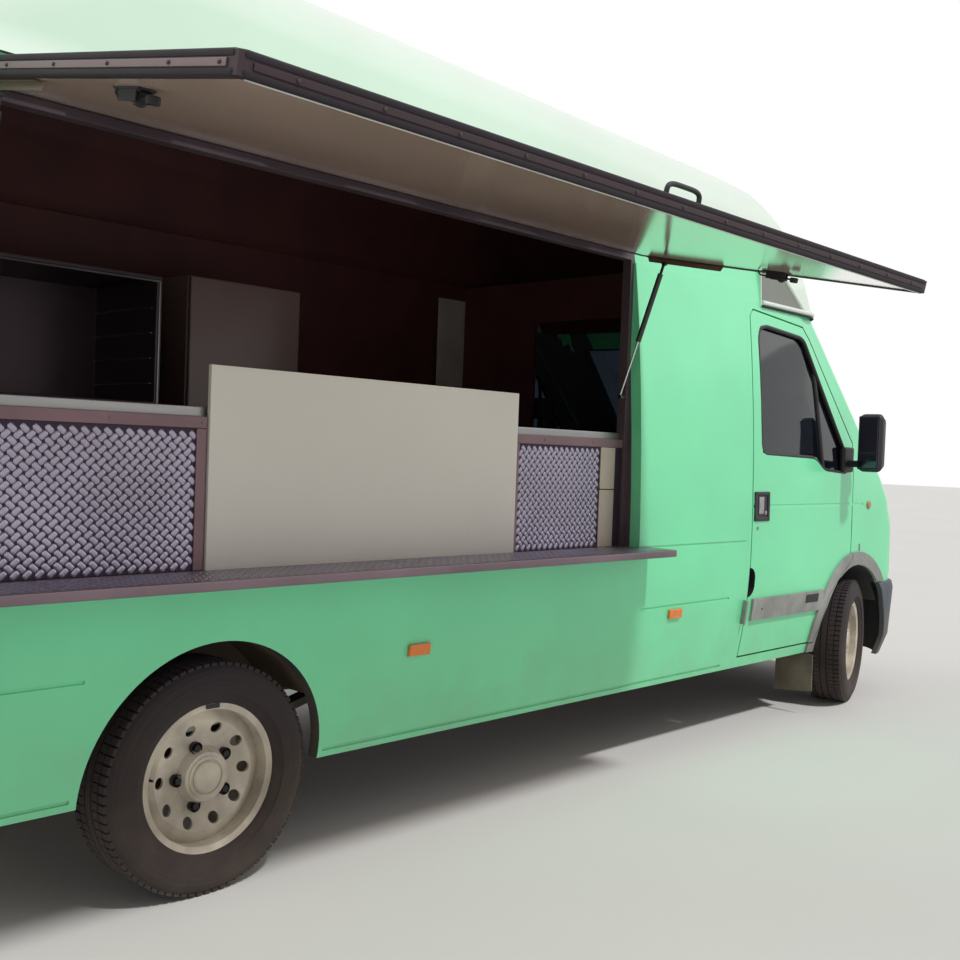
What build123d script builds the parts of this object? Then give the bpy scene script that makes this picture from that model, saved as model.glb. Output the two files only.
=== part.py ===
from build123d import *
import math
import os

os.makedirs("parts", exist_ok=True)

# A food truck made from a long high-roof panel van: all sizes are in mm.
# X runs forward from the front axle, Y to the left from the centre plane, Z up from the ground.
# The last step of each piece moves it to the part's own origin, under the middle of the whole outline.

# Overall body
WHEELBASE = 4078
NOSE_X = 852
TAIL_X = -5047
BODY_REAR_X = -5015
CAB_REAR_X = -1200
WIDE_HALF = 995
WIDE_Z = 900
SILL_HALF = 932
SILL_Z = 320
SIDE_TOP_HALF = 905
SIDE_TOP_Z = 2235
WALL = 45
SEAT_GAP = 0.3

# Floor and chassis
FLOOR_Z = 560
FLOOR_THICK = 30
FLOOR_FRONT_X = 40
RAIL_HALF = 400
RAIL_WIDTH = 70
RAIL_HEIGHT = 120
TOW_HOLES_X = -4860
TOW_SPACING_X = 200
TOW_HOLES_Y = 365
TOW_HOLE_R = 6.5
TOW_HOLE_DEPTH = 40

# Roof, which rises a little from the cab (X = 0) to the rear; a row holds the half width and height of
# the shoulder, of the round above it and of the crown's edge, and the height of the top
ROOF_SKIN = 25
ROOF_FOOT_HALF = 922
ROOF_LEDGE_HALF = 880
ROOF_LEDGE_Z = 2285
ROOF_FRONT_ROW = (850, 2456, 776, 2596, 560, 2674, 2704)
ROOF_REAR_ROW = (868, 2558, 804, 2710, 600, 2794, 2818)
HEADER_Z = 2050
ROOF_STEP_X = -1060

# Wheels
TYRE_R = 335
TYRE_WIDTH = 210
RIM_R = 205
RIM_WIDTH = 165
WHEEL_Y = 868
KINGPIN_Y = 790
FRONT_ARCH_R = 422
REAR_ARCH_R = 400
STEER_REST = 15
TUB_INNER_Y = 690
TUB_THICK = 4
LINER_INNER_Y = 540
ARCH_TRIM = 72
TRIM_PROUD = 14
HUB_FACE = WHEEL_Y - 24
HUB_THICK = 14
HUB_R = 45

# Serving opening and its hatch
OPEN_FRONT_X = -2100
OPEN_REAR_X = -4820
OPEN_TOP_Z = 2115
HATCH_FRONT_X = -2086
HATCH_REAR_X = -4862
HATCH_AXIS_Y = -955
HATCH_AXIS_Z = 2160
HATCH_LENGTH = 1210
HATCH_DROOP = 11.3
HATCH_CLOSED_LEAN = 1.5
HATCH_UNDER = -30
HATCH_TOP = 12
HATCH_SKIN = 4
HATCH_RIM = 28
HATCH_LINING = 6
HATCH_GAP = 8
HINGE_LEAF_LOW = 2.3
FRAME_OUTER_Y = -918
FRAME_DEPTH = 42
FRAME_FACE = 32

# Gas struts of the hatch
STRUT_INSET = 25
STRUT_TOP_U = 155
STRUT_TOP_W = -52
STRUT_FOOT_Y = -905
STRUT_FOOT_Z = 1550
STRUT_TUBE_LENGTH = 325
STRUT_TUBE_R = 11
STRUT_BORE_R = 5
STRUT_ROD_R = 4
STRUT_ROD_INSIDE = 60
STRUT_EYE_R = 9
STRUT_EYE_THICK = 8
STRUT_NECK = 40
STRUT_NECK_THICK = 6
STRUT_PIN_R = 4

# Counter and the panels in the opening
SHELF_FRONT_X = -2010
SHELF_REAR_X = -4880
SHELF_OUTER_Y = -1140
SHELF_INNER_Y = -870
SHELF_TOP_Z = 930
SHELF_THICK = 28
PANEL_Y = -905
PANEL_THICK = 8
PANEL_TOP_Z = 1370
BOARD_FRONT_X = -2766
BOARD_REAR_X = -4095
BOARD_TOP_Z = 1522
BOARD_THICK = 15

# Cab doors
DOOR_REAR_X = -1160
DOOR_FRONT_X = -56
DOOR_BOTTOM_Z = 375
DOOR_TOP_Z = 2020
DOOR_THICK = 52
DOOR_GAP = 8
GLASS_THICK = 5

# Rear doors
REAR_DOOR_BOTTOM_Z = 575
REAR_DOOR_TOP_Z = 2190
REAR_DOOR_HALF = 815
REAR_DOOR_THICK = 50
REAR_HINGES_Z = (760, 1380, 2000)


def side_half(z):
    """Half width of the body's outer side at a height: two arcs, both upright at the widest line."""
    if z < WIDE_Z:
        depth, drop = WIDE_Z - SILL_Z, WIDE_HALF - SILL_HALF
    else:
        depth, drop = SIDE_TOP_Z - WIDE_Z, WIDE_HALF - SIDE_TOP_HALF
    radius = (depth**2 + drop**2) / (2 * drop)
    return WIDE_HALF - radius + math.sqrt(radius**2 - (z - WIDE_Z) ** 2)


def block(x, y, z):
    """A box between two values along each axis."""
    solid = Box(x[1] - x[0], y[1] - y[0], z[1] - z[0])
    return Pos((x[0] + x[1]) / 2, (y[0] + y[1]) / 2, (z[0] + z[1]) / 2) * solid


def side_arc(inset, low, high, sign):
    """The body's side curve between two heights, brought in by a wall."""
    points = [(sign * (side_half(z) - inset), z) for z in (low, (low + high) / 2, high)]
    return ThreePointArc(*points)


def body_run(inset, x, z):
    """A length of the body's inside or outside form, with curved sides and flat top and bottom."""
    low, high = z
    lines = []
    breaks = [low, high]
    if low < WIDE_Z < high:
        breaks = [low, WIDE_Z, high]
    for start, end in zip(breaks, breaks[1:]):
        lines += [side_arc(inset, start, end, 1), side_arc(inset, start, end, -1)]
    for z_end in (low, high):
        half = side_half(z_end) - inset
        lines.append(Line((-half, z_end), (half, z_end)))
    face = Plane.YZ.offset(x[0]) * make_face(Curve() + lines)
    return extrude(face, amount=x[1] - x[0])


def outline(row, level):
    """A closed plan outline of the cab or roof front at one height.

    row holds nose_x, corner_x, corner_half, shoulder_x, shoulder_half and back_x, back_half.
    """
    nose_x, corner_x, corner_half, shoulder_x, shoulder_half, back_x, back_half = row
    bulge_x = shoulder_x + 0.66 * (corner_x - shoulder_x)
    bulge_y = corner_half + 0.70 * (shoulder_half - corner_half)
    left = [
        Line((back_x, back_half), (shoulder_x, shoulder_half)),
        ThreePointArc((shoulder_x, shoulder_half), (bulge_x, bulge_y), (corner_x, corner_half)),
    ]
    right = [
        Line((back_x, -back_half), (shoulder_x, -shoulder_half)),
        ThreePointArc((shoulder_x, -shoulder_half), (bulge_x, -bulge_y), (corner_x, -corner_half)),
    ]
    front = ThreePointArc((corner_x, corner_half), (nose_x, 0), (corner_x, -corner_half))
    back = Line((back_x, back_half), (back_x, -back_half))
    face = make_face(Curve() + [*left, front, *right, back])
    return Pos(0, 0, level) * face


def stacked(rows):
    """A form with straight sides between plan outlines at given heights."""
    levels = sorted(rows)
    return loft([outline(rows[level], level) for level in levels], ruled=True)


# Plan outlines of the cab by height: nose, corner (x, half), shoulder (x, half), back (x, half)
CAB_OUTLINES = {
    SILL_Z - 30: (735, 650, 700, 380, 925, CAB_REAR_X, 1010),
    700: (800, 712, 740, 430, 948, CAB_REAR_X, 1010),
    960: (792, 700, 740, 430, 948, CAB_REAR_X, 1010),
    1110: (655, 570, 800, 400, 946, CAB_REAR_X, 1010),
    1225: (505, 430, 850, 290, 950, CAB_REAR_X, 1010),
    HEADER_Z + 10: (-330, -400, 765, -590, 912, CAB_REAR_X, 1010),
}
CAB_INNER_OUTLINES = {
    SILL_Z - 40: (675, 590, 650, 340, 878, CAB_REAR_X - 1, 1010),
    700: (740, 652, 690, 380, 900, CAB_REAR_X - 1, 1010),
    940: (732, 640, 690, 380, 900, CAB_REAR_X - 1, 1010),
    1080: (600, 520, 745, 350, 898, CAB_REAR_X - 1, 1010),
    1190: (450, 375, 795, 240, 900, CAB_REAR_X - 1, 1010),
    HEADER_Z + 11: (-395, -460, 715, -640, 866, CAB_REAR_X - 1, 1010),
}
# Plan outlines of the roof's raised front, in the same columns
ROOF_OUTLINES = {
    HEADER_Z: (-310, -385, 765, -575, 930, TAIL_X, 930),
    2235: (-400, -500, 760, -690, 930, TAIL_X, 930),
    2480: (-600, -700, 720, -930, 930, TAIL_X, 930),
    2620: (-790, -900, 660, -1250, 930, TAIL_X, 930),
    2735: (-1300, -1450, 500, -1900, 930, TAIL_X, 930),
    2830: (-2700, -2850, 500, -3300, 930, TAIL_X, 930),
}

cab_form = stacked(CAB_OUTLINES) & body_run(0, (CAB_REAR_X, NOSE_X), (SILL_Z, HEADER_Z))
cab_void = stacked(CAB_INNER_OUTLINES) & body_run(WALL, (CAB_REAR_X - 1, NOSE_X), (SILL_Z - 20, HEADER_Z + 5))


def cab_grown(grow):
    """The cab's outside form, moved outward all round by a distance."""
    rows = {}
    for level, row in CAB_OUTLINES.items():
        nose_x, corner_x, corner_half, shoulder_x, shoulder_half, back_x, back_half = row
        sides = (shoulder_x, shoulder_half + grow, back_x, back_half + grow)
        rows[level] = (nose_x + grow, corner_x + grow, corner_half + grow, *sides)
    return stacked(rows) & body_run(-grow, (CAB_REAR_X, NOSE_X), (SILL_Z, HEADER_Z))


def roof_section(inset, row, x):
    """The roof's cross-section: foot, ledge, leaning side, round shoulder and low crown."""
    shoulder, shoulder_z, bend, bend_z, crown_half, crown_z, top = row
    foot, ledge, shoulder, bend, crown_half = (
        half - inset for half in (ROOF_FOOT_HALF, ROOF_LEDGE_HALF, shoulder, bend, crown_half)
    )
    bend_z, crown_z, top = (z - inset for z in (bend_z, crown_z, top))
    lines = []
    for sign in (1, -1):
        lines += [
            Line((sign * (foot + 10), HEADER_Z), (sign * foot, SIDE_TOP_Z)),
            Line((sign * foot, SIDE_TOP_Z), (sign * ledge, ROOF_LEDGE_Z)),
            Line((sign * ledge, ROOF_LEDGE_Z), (sign * shoulder, shoulder_z)),
            ThreePointArc((sign * shoulder, shoulder_z), (sign * bend, bend_z), (sign * crown_half, crown_z)),
        ]
    lines.append(ThreePointArc((crown_half, crown_z), (0, top), (-crown_half, crown_z)))
    lines.append(Line((foot + 10, HEADER_Z), (-foot - 10, HEADER_Z)))
    return Plane.YZ.offset(x) * make_face(Curve() + lines)


def roof_run(inset, rear_x):
    """The roof's form from the cab's end of the truck back to a rear plane."""
    share = rear_x / BODY_REAR_X
    rear_row = [a + (b - a) * share for a, b in zip(ROOF_FRONT_ROW, ROOF_REAR_ROW)]
    return loft([roof_section(inset, ROOF_FRONT_ROW, 0), roof_section(inset, rear_row, rear_x)], ruled=True)


roof_outer = roof_run(0, BODY_REAR_X) & stacked(ROOF_OUTLINES)
roof_inner = roof_run(ROOF_SKIN, BODY_REAR_X + ROOF_SKIN)
roof_inner &= Pos(-ROOF_SKIN * 1.6, 0, 0) * stacked(ROOF_OUTLINES)
below_roof = block((TAIL_X - 10, ROOF_STEP_X), (-1100, 1100), (1900, SIDE_TOP_Z))
roof = roof_outer - roof_inner - below_roof

# The load body: curved sides, rear corner posts and rear frame, open below, above and towards the cab
over_cab = block((CAB_REAR_X, 0), (-1100, 1100), (SILL_Z - 5, HEADER_Z))
body_outer = body_run(0, (BODY_REAR_X, ROOF_STEP_X), (SILL_Z, SIDE_TOP_Z))
body_inner = body_run(WALL, (BODY_REAR_X + WALL, ROOF_STEP_X + 1), (SILL_Z - 1, SIDE_TOP_Z + 1))
load_body = body_outer - body_inner - over_cab
load_body -= block(
    (BODY_REAR_X - 1, BODY_REAR_X + WALL + 1),
    (-REAR_DOOR_HALF - DOOR_GAP, REAR_DOOR_HALF + DOOR_GAP),
    (REAR_DOOR_BOTTOM_Z - DOOR_GAP, REAR_DOOR_TOP_Z + DOOR_GAP),
)
load_body -= block(
    (HATCH_REAR_X - HATCH_GAP, HATCH_FRONT_X + HATCH_GAP),
    (-1100, -700),
    (SHELF_TOP_Z - SHELF_THICK, HATCH_AXIS_Z + HATCH_GAP),
)
rear_arch = Pos(-WHEELBASE, 0, TYRE_R) * Rot(90, 0, 0) * Cylinder(REAR_ARCH_R, 2400)
load_body -= rear_arch

# Raised blank panels where such a body may have side windows, with a crease below and one at the sill
BLANK_PROUD = 5
BLANK_Z = (SHELF_TOP_Z + 4, 2105)
BLANK_FRONT_X = -1212
CREASE_DEEP = 5
CREASE_HALF = 5
CREASE_Z = 668
SILL_CREASE_Z = 345


def side_band(x, z, proud, side):
    """A layer on the body's side between two values of X and Z, proud of the skin by a distance."""
    layer = body_run(-proud, x, z) - body_run(1, (x[0] - 1, x[1] + 1), (z[0] - 1, z[1] + 1))
    reach = (-1100, 0) if side < 0 else (0, 1100)
    return layer & block((x[0], x[1]), reach, z)


def side_groove(x, z, side):
    """The space of a crease pressed into the body's side."""
    level = (z - CREASE_HALF, z + CREASE_HALF)
    space = body_run(-2, x, level) - body_run(CREASE_DEEP, (x[0] - 1, x[1] + 1), (level[0] - 1, level[1] + 1))
    reach = (-1100, 0) if side < 0 else (0, 1100)
    return space & block(x, reach, level)


load_body += side_band((HATCH_FRONT_X + HATCH_GAP, BLANK_FRONT_X), BLANK_Z, BLANK_PROUD, -1)
for blank_x in ((-4860, -3640), (-3540, -2180), (-2078, BLANK_FRONT_X)):
    load_body += side_band(blank_x, BLANK_Z, BLANK_PROUD, 1)
for sign in (-1, 1):
    load_body -= side_groove((-2030, -1330), CREASE_Z, sign)
    load_body -= side_groove((-4710, -4490), CREASE_Z, sign)
    load_body -= side_groove((-3660, -1310), SILL_CREASE_Z, sign)
    load_body -= side_groove((-4930, -4500), SILL_CREASE_Z, sign)

# The cab frame: wings, door frames, pillars and scuttle, with the doorways, windscreen and bonnet cut out
front_arch = Rot(90, 0, 0) * Cylinder(FRONT_ARCH_R, 2400)
front_arch = Pos(20, 0, TYRE_R) * front_arch
cab_frame = cab_form - cab_void - front_arch
cab_frame -= (cab_form - cab_grown(-3)) & block((-48, 90), (-1100, 1100), (1084, 1098))

# Outline of a cab door in side view: rear edge, top, sloping front post, front edge down to the sill
door_points = [
    (DOOR_REAR_X, DOOR_BOTTOM_Z),
    (DOOR_REAR_X, DOOR_TOP_Z - 30),
    (DOOR_REAR_X + 30, DOOR_TOP_Z),
    (-640, DOOR_TOP_Z - 35),
    (-560, 1930),
    (DOOR_FRONT_X, 1420),
    (DOOR_FRONT_X, 800),
    (-330, 620),
    (-430, DOOR_BOTTOM_Z),
]
window_points = [
    (-1075, 1345),
    (-1090, 1925),
    (-1040, 1955),
    (-640, 1930),
    (-150, 1370),
    (-130, 1260),
    (-420, 1275),
    (-520, 1335),
]


def side_prism(points, grow, y):
    """A side-view outline, grown by a gap, run across between two values of Y."""
    face = make_face(Polyline(*points, close=True))
    if grow:
        face = offset(face, amount=grow, kind=Kind.INTERSECTION)
    face = Plane.XZ.offset(-y[1]) * face
    return extrude(face, amount=y[1] - y[0])


DOOR_HINGES_Z = (860, 1180)
GLASS_INSET = 20
RIGHT_SIDE = (-1100, -700)
LEFT_SIDE = (700, 1100)
doors = {}
glasses = {}
NOTCH_R = 52
NOTCH_Z = (712, 748)
NOTCH_DEEP = 30
notch = block((DOOR_REAR_X - NOTCH_R, DOOR_REAR_X + NOTCH_R), (-1100, 1100), NOTCH_Z)
for z in NOTCH_Z:
    notch += Pos(DOOR_REAR_X, 0, z) * Rot(90, 0, 0) * Cylinder(NOTCH_R, 2200)
notch -= cab_grown(-NOTCH_DEEP)
door_crease = cab_form - cab_grown(-3)
door_crease &= block((CAB_REAR_X, 400), (-1100, 1100), (1084, 1098))
door_inside = body_run(DOOR_THICK, (CAB_REAR_X - 1, NOSE_X), (SILL_Z - 20, HEADER_Z + 5))
door_zone = cab_form - (stacked(CAB_INNER_OUTLINES) & door_inside)
pane_form = cab_grown(-GLASS_INSET) - cab_grown(-GLASS_INSET - GLASS_THICK)
for side, reach in (("right", RIGHT_SIDE), ("left", LEFT_SIDE)):
    cab_frame -= side_prism(door_points, DOOR_GAP, reach)
    leaf = door_zone & side_prism(door_points, 0, reach)
    leaf -= notch & block((-1300, -1000), reach, (500, 900))
    leaf -= door_crease & block((DOOR_REAR_X, -90), reach, (1000, 1200))
    doors[side] = leaf - side_prism(window_points, 0, reach)
    glasses[side] = pane_form & side_prism(window_points, -SEAT_GAP, reach)

# Hinge blocks of the cab doors, filling the gap between each front post and its door
for z in DOOR_HINGES_Z:
    hinge_x = (DOOR_FRONT_X + SEAT_GAP, DOOR_FRONT_X + DOOR_GAP + 10)
    hinge_block = block(hinge_x, (925, 958), (z - 40, z + 40))
    cab_frame += hinge_block
    cab_frame += mirror(hinge_block, about=Plane.XZ)

# Windscreen opening, seen from the front
screen_points = [(-790, 1265), (790, 1265), (700, 1960), (-700, 1960)]
screen_face = Plane.YZ.offset(-700) * make_face(Polyline(*screen_points, close=True))
screen_cut = extrude(screen_face, amount=1600)
cab_frame -= screen_cut & block((-640, 900), (-900, 900), (1240, 2000))

# The bonnet in plan view: straight sides, and a rear edge that curves forward at the middle
BONNET_REAR_X = 430
BONNET_MID_X = 528
BONNET_HALF = 735
BONNET_LOW_Z = 965
BONNET_GAP = 6
GRILLE_LOW_Z = 700
GRILLE_HALF = 428
LAMP_HALF = 697


def bonnet_zone(grow, low):
    rear = (BONNET_REAR_X - grow, BONNET_HALF + grow)
    front = (NOSE_X + 48, BONNET_HALF + grow)
    edge = ThreePointArc(rear, (BONNET_MID_X - grow, 0), (rear[0], -rear[1]))
    lines = [
        edge,
        Line(rear, front),
        Line(front, (front[0], -front[1])),
        Line((front[0], -front[1]), (rear[0], -rear[1])),
    ]
    return Pos(0, 0, low) * extrude(make_face(Curve() + lines), amount=1300 - low)


bonnet = (cab_form - cab_void) & bonnet_zone(0, BONNET_LOW_Z)
cab_frame -= bonnet_zone(BONNET_GAP, BONNET_LOW_Z - BONNET_GAP)

# Hinge pads at the bonnet's rear corners, just below the painted surface
hinge_pad = bonnet_zone(BONNET_GAP, BONNET_LOW_Z) - bonnet_zone(SEAT_GAP, BONNET_LOW_Z - 1)
hinge_pad &= cab_grown(-12) - cab_void
hinge_pad &= block((400, 470), (BONNET_HALF - 95, BONNET_HALF - 10), (1100, 1300))
cab_frame += hinge_pad
cab_frame += mirror(hinge_pad, about=Plane.XZ)

# Headlamps and grille fill the band under the bonnet
band_top = BONNET_LOW_Z - BONNET_GAP
cab_frame -= block((300, 900), (-LAMP_HALF - 3, LAMP_HALF + 3), (GRILLE_LOW_Z, band_top + 1))
band = cab_form - cab_void
lamp = band & block((300, 900), (GRILLE_HALF + 4, LAMP_HALF), (GRILLE_LOW_Z, band_top - 4))
grille = band & block((300, 900), (-GRILLE_HALF, GRILLE_HALF), (GRILLE_LOW_Z, band_top - 4))
SLAT_COUNT = 5
slot_pitch = (band_top - 4 - GRILLE_LOW_Z) / SLAT_COUNT
for index in range(SLAT_COUNT):
    low = GRILLE_LOW_Z + index * slot_pitch + 14
    grille -= block((300, 900), (-GRILLE_HALF + 20, -8), (low, low + slot_pitch - 22))
    grille -= block((300, 900), (8, GRILLE_HALF - 20), (low, low + slot_pitch - 22))

# The front bumper takes over from the painted front below this height
BUMPER_TOP_Z = 640
BUMPER_SKIN = 30
BUMPER_OUTLINES = {
    215: (790, 680, 725, 380, 925, 250, 925),
    330: (842, 730, 760, 400, 955, 250, 962),
    600: (NOSE_X, 742, 768, 425, 968, 250, 985),
    BUMPER_TOP_Z: (838, 728, 758, 425, 962, 250, 982),
}
bumper_form = stacked(BUMPER_OUTLINES)
inner_rows = {}
for level, row in BUMPER_OUTLINES.items():
    nose_x, corner_x, corner_half, shoulder_x, shoulder_half, back_x, back_half = row
    inner_rows[level if level < BUMPER_TOP_Z else level + 1] = (
        nose_x - BUMPER_SKIN,
        corner_x - BUMPER_SKIN,
        corner_half - BUMPER_SKIN,
        shoulder_x,
        shoulder_half - BUMPER_SKIN,
        back_x - 1,
        back_half - BUMPER_SKIN,
    )
inner_rows[214] = inner_rows.pop(215)
cab_frame -= block((300, 900), (-1100, 1100), (200, BUMPER_TOP_Z))
bumper = bumper_form - stacked(inner_rows) - block((0, 300), (-1100, 1100), (200, 700)) - front_arch

windscreen_shell = cab_form - Pos(-8, 0, -2) * cab_form
windscreen = windscreen_shell & screen_cut & block((-640, 900), (-900, 900), (1240, 2000))


nodes = {
    "load_body": load_body,
    "roof": roof,
    "cab_frame": cab_frame,
    "cab_door_right": doors["right"],
    "cab_door_left": doors["left"],
    "door_glass_right": glasses["right"],
    "door_glass_left": glasses["left"],
    "bonnet": bonnet,
    "windscreen": windscreen,
}


def together(shapes):
    """Pieces of one node that stand apart from each other."""
    return Compound([solid for shape in shapes for solid in shape.solids()])


def both_sides(shape):
    """A piece and its mirror image on the other side of the centre plane."""
    return together([shape, mirror(shape, about=Plane.XZ)])


def ring(r_outer, r_inner, y):
    """A ring about the wheel's axis, between two values of Y."""
    tube = Cylinder(r_outer, y[1] - y[0]) - Cylinder(r_inner, y[1] - y[0] + 2)
    return Pos(0, (y[0] + y[1]) / 2, 0) * Rot(90, 0, 0) * tube


# Floor plate with the two rear wheel tubs standing on it
floor_levels = (FLOOR_Z - FLOOR_THICK, FLOOR_Z)
floor = body_run(WALL + SEAT_GAP, (BODY_REAR_X + WALL, CAB_REAR_X), floor_levels)
floor += body_run(DOOR_THICK + 5, (CAB_REAR_X, FLOOR_FRONT_X), floor_levels)
floor -= block((-470, 160), (-1100, -LINER_INNER_Y), (400, 700))
floor -= block((-470, 160), (LINER_INNER_Y, 1100), (400, 700))
tub_outer = ring(REAR_ARCH_R + TUB_THICK, REAR_ARCH_R, (TUB_INNER_Y, WIDE_HALF))
tub_wall = ring(REAR_ARCH_R + TUB_THICK, 1, (TUB_INNER_Y, TUB_INNER_Y + TUB_THICK))
tub = Pos(-WHEELBASE, 0, TYRE_R) * (tub_outer + tub_wall)
tub &= body_run(WALL + SEAT_GAP, (BODY_REAR_X, CAB_REAR_X), (FLOOR_Z - FLOOR_THICK, 1500))
arch_cut = Pos(-WHEELBASE, 0, TYRE_R) * ring(REAR_ARCH_R, 0.5, (TUB_INNER_Y + TUB_THICK, 1100))
arch_cut = both_sides(arch_cut)
floor = floor - arch_cut.solids()[0] - arch_cut.solids()[1]
for tub_side in both_sides(tub).solids():
    floor += tub_side
nodes["floor"] = floor

# Chassis: two long rails with crossmembers
rail_top = FLOOR_Z - FLOOR_THICK
rail = block((-4950, 560), (RAIL_HALF - RAIL_WIDTH, RAIL_HALF), (rail_top - RAIL_HEIGHT, rail_top))
chassis = rail + mirror(rail, about=Plane.XZ)
for x in (-4900, -3000, -1900, -700, 500):
    chassis += block((x, x + 60), (-RAIL_HALF, RAIL_HALF), (rail_top - RAIL_HEIGHT + 20, rail_top - 20))

# Four blind holes under the rails' rear ends, for the side plates of a tow bar
for x in (TOW_HOLES_X, TOW_HOLES_X + TOW_SPACING_X):
    for y in (-TOW_HOLES_Y, TOW_HOLES_Y):
        chassis -= Pos(x, y, rail_top - RAIL_HEIGHT) * Cylinder(TOW_HOLE_R, 2 * TOW_HOLE_DEPTH)
nodes["chassis"] = chassis

# Firewall between the engine and the cab
firewall = cab_void & block((FLOOR_FRONT_X, FLOOR_FRONT_X + 12), (-1100, 1100), (rail_top + SEAT_GAP, 930))
firewall &= block((0, 100), (-LINER_INNER_Y, LINER_INNER_Y), (0, 1000))

# Engine, as one plain block across the front, and the radiator panel
nodes["engine"] = block((70, 560), (-RAIL_HALF, RAIL_HALF), (rail_top + SEAT_GAP, 900))

# Fuel tank below the floor, hung between the rails by two straps
tank_half = RAIL_HALF - RAIL_WIDTH - 10
tank = block((-2900, -2000), (-tank_half, tank_half), (300, rail_top - 15))
tank = fillet(tank.edges().filter_by(Axis.X), 40)
for x in (-2750, -2190):
    tank += block((x, x + 40), (-200, 200), (rail_top - 20, rail_top - SEAT_GAP))

# Rear axle beam with stub axles, on leaf springs
SPRING_Y = 560
SPRING_HALF = 700
SPRING_SAG = 130
SPRING_EYE_Z = 450
spring_low = SPRING_EYE_Z - SPRING_SAG


def leaf_spring(thick, width):
    """A long flat leaf, bent down in its middle, with an eye at each end hung from the floor."""
    path_top = ThreePointArc(
        (-WHEELBASE - SPRING_HALF, SPRING_EYE_Z),
        (-WHEELBASE, spring_low + thick),
        (-WHEELBASE + SPRING_HALF, SPRING_EYE_Z),
    )
    path_low = ThreePointArc(
        (-WHEELBASE - SPRING_HALF, SPRING_EYE_Z - thick),
        (-WHEELBASE, spring_low),
        (-WHEELBASE + SPRING_HALF, SPRING_EYE_Z - thick),
    )
    ends = [
        Line(path_top @ 0, path_low @ 0),
        Line(path_top @ 1, path_low @ 1),
    ]
    face = Plane.XZ.offset(-SPRING_Y - width / 2) * make_face(Curve() + [path_top, path_low, *ends])
    leaf = extrude(face, amount=width)
    for x in (-WHEELBASE - SPRING_HALF, -WHEELBASE + SPRING_HALF):
        leaf += block((x - 30, x + 30), (SPRING_Y - 35, SPRING_Y + 35), (SPRING_EYE_Z - 40, rail_top))
    return leaf


springs = both_sides(leaf_spring(28, 60))

BEAM_Z = TYRE_R - 60
BEAM_R = 38
beam = Pos(-WHEELBASE, 0, BEAM_Z) * Rot(90, 0, 0) * Cylinder(BEAM_R, 2 * 690)
rear_axle = beam
for sign in (1, -1):
    plate_ys = sorted((sign * 670, sign * 690))
    rear_axle += block((-WHEELBASE - 45, -WHEELBASE + 45), plate_ys, (TYRE_R - 110, TYRE_R + 50))
    stub = Cylinder(22, HUB_FACE - HUB_THICK - 680)
    rear_axle += Pos(-WHEELBASE, sign * (HUB_FACE - HUB_THICK + 680) / 2, TYRE_R) * Rot(90, 0, 0) * stub
    hub = Cylinder(HUB_R, HUB_THICK - SEAT_GAP)
    hub_y = sign * (HUB_FACE - (HUB_THICK + SEAT_GAP) / 2)
    rear_axle += Pos(-WHEELBASE, hub_y, TYRE_R) * Rot(90, 0, 0) * hub
    pad_ys = sorted((sign * (SPRING_Y - 35), sign * (SPRING_Y + 35)))
    rear_axle += block((-WHEELBASE - 45, -WHEELBASE + 45), pad_ys, (BEAM_Z, spring_low - SEAT_GAP))
nodes["rear_axle"] = together([rear_axle, springs])

# Front subframe: a crossmember and an arm to each kingpin
SUBFRAME_Z = 240
subframe = block((-130, 130), (-RAIL_HALF - 20, RAIL_HALF + 20), (SUBFRAME_Z, SUBFRAME_Z + 50))
for sign in (1, -1):
    ys = sorted((sign * (RAIL_HALF - RAIL_WIDTH), sign * RAIL_HALF))
    subframe += block((-110, -50), ys, (SUBFRAME_Z + 40, rail_top - RAIL_HEIGHT))
    subframe += block((50, 110), ys, (SUBFRAME_Z + 40, rail_top - RAIL_HEIGHT))
    arm_ys = sorted((sign * RAIL_HALF, sign * (KINGPIN_Y + 12)))
    subframe += block((-28, 28), arm_ys, (SUBFRAME_Z - 20, SUBFRAME_Z + 5))
nodes["front_subframe"] = subframe

# Kingpin posts with the stub axle, turned with the steering
KNUCKLE_R = 24
steer_turn = {}
for side, sign in (("left", 1), ("right", -1)):
    y_pin = sign * KINGPIN_Y
    post_z = (SUBFRAME_Z + 5 + SEAT_GAP, TYRE_R + 110)
    post = Pos(0, y_pin, 0) * block((-KNUCKLE_R, KNUCKLE_R), (-20, 20), post_z)
    stub = block((-20, 20), sorted((y_pin, sign * (HUB_FACE - HUB_THICK))), (TYRE_R - 20, TYRE_R + 20))
    hub = Cylinder(HUB_R, HUB_THICK - SEAT_GAP)
    hub = Pos(0, sign * (HUB_FACE - (HUB_THICK + SEAT_GAP) / 2), TYRE_R) * Rot(90, 0, 0) * hub
    knuckle = post + stub + hub
    turn = Pos(0, y_pin, 0) * Rot(0, 0, STEER_REST) * Pos(0, -y_pin, 0)
    steer_turn[side] = turn
    nodes[f"knuckle_{side}"] = turn * knuckle

# Wheels: a steel rim with a dished disc and a raised hub, and a tyre
DISC_Y = 22
RIM_WALL = 8
TREAD_THICK = 17


def revolved(points):
    """A closed outline of (radius, Y) turned about the wheel's axis."""
    face = make_face(Polyline(*points, close=True))
    return revolve(face, axis=Axis.Y)


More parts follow.
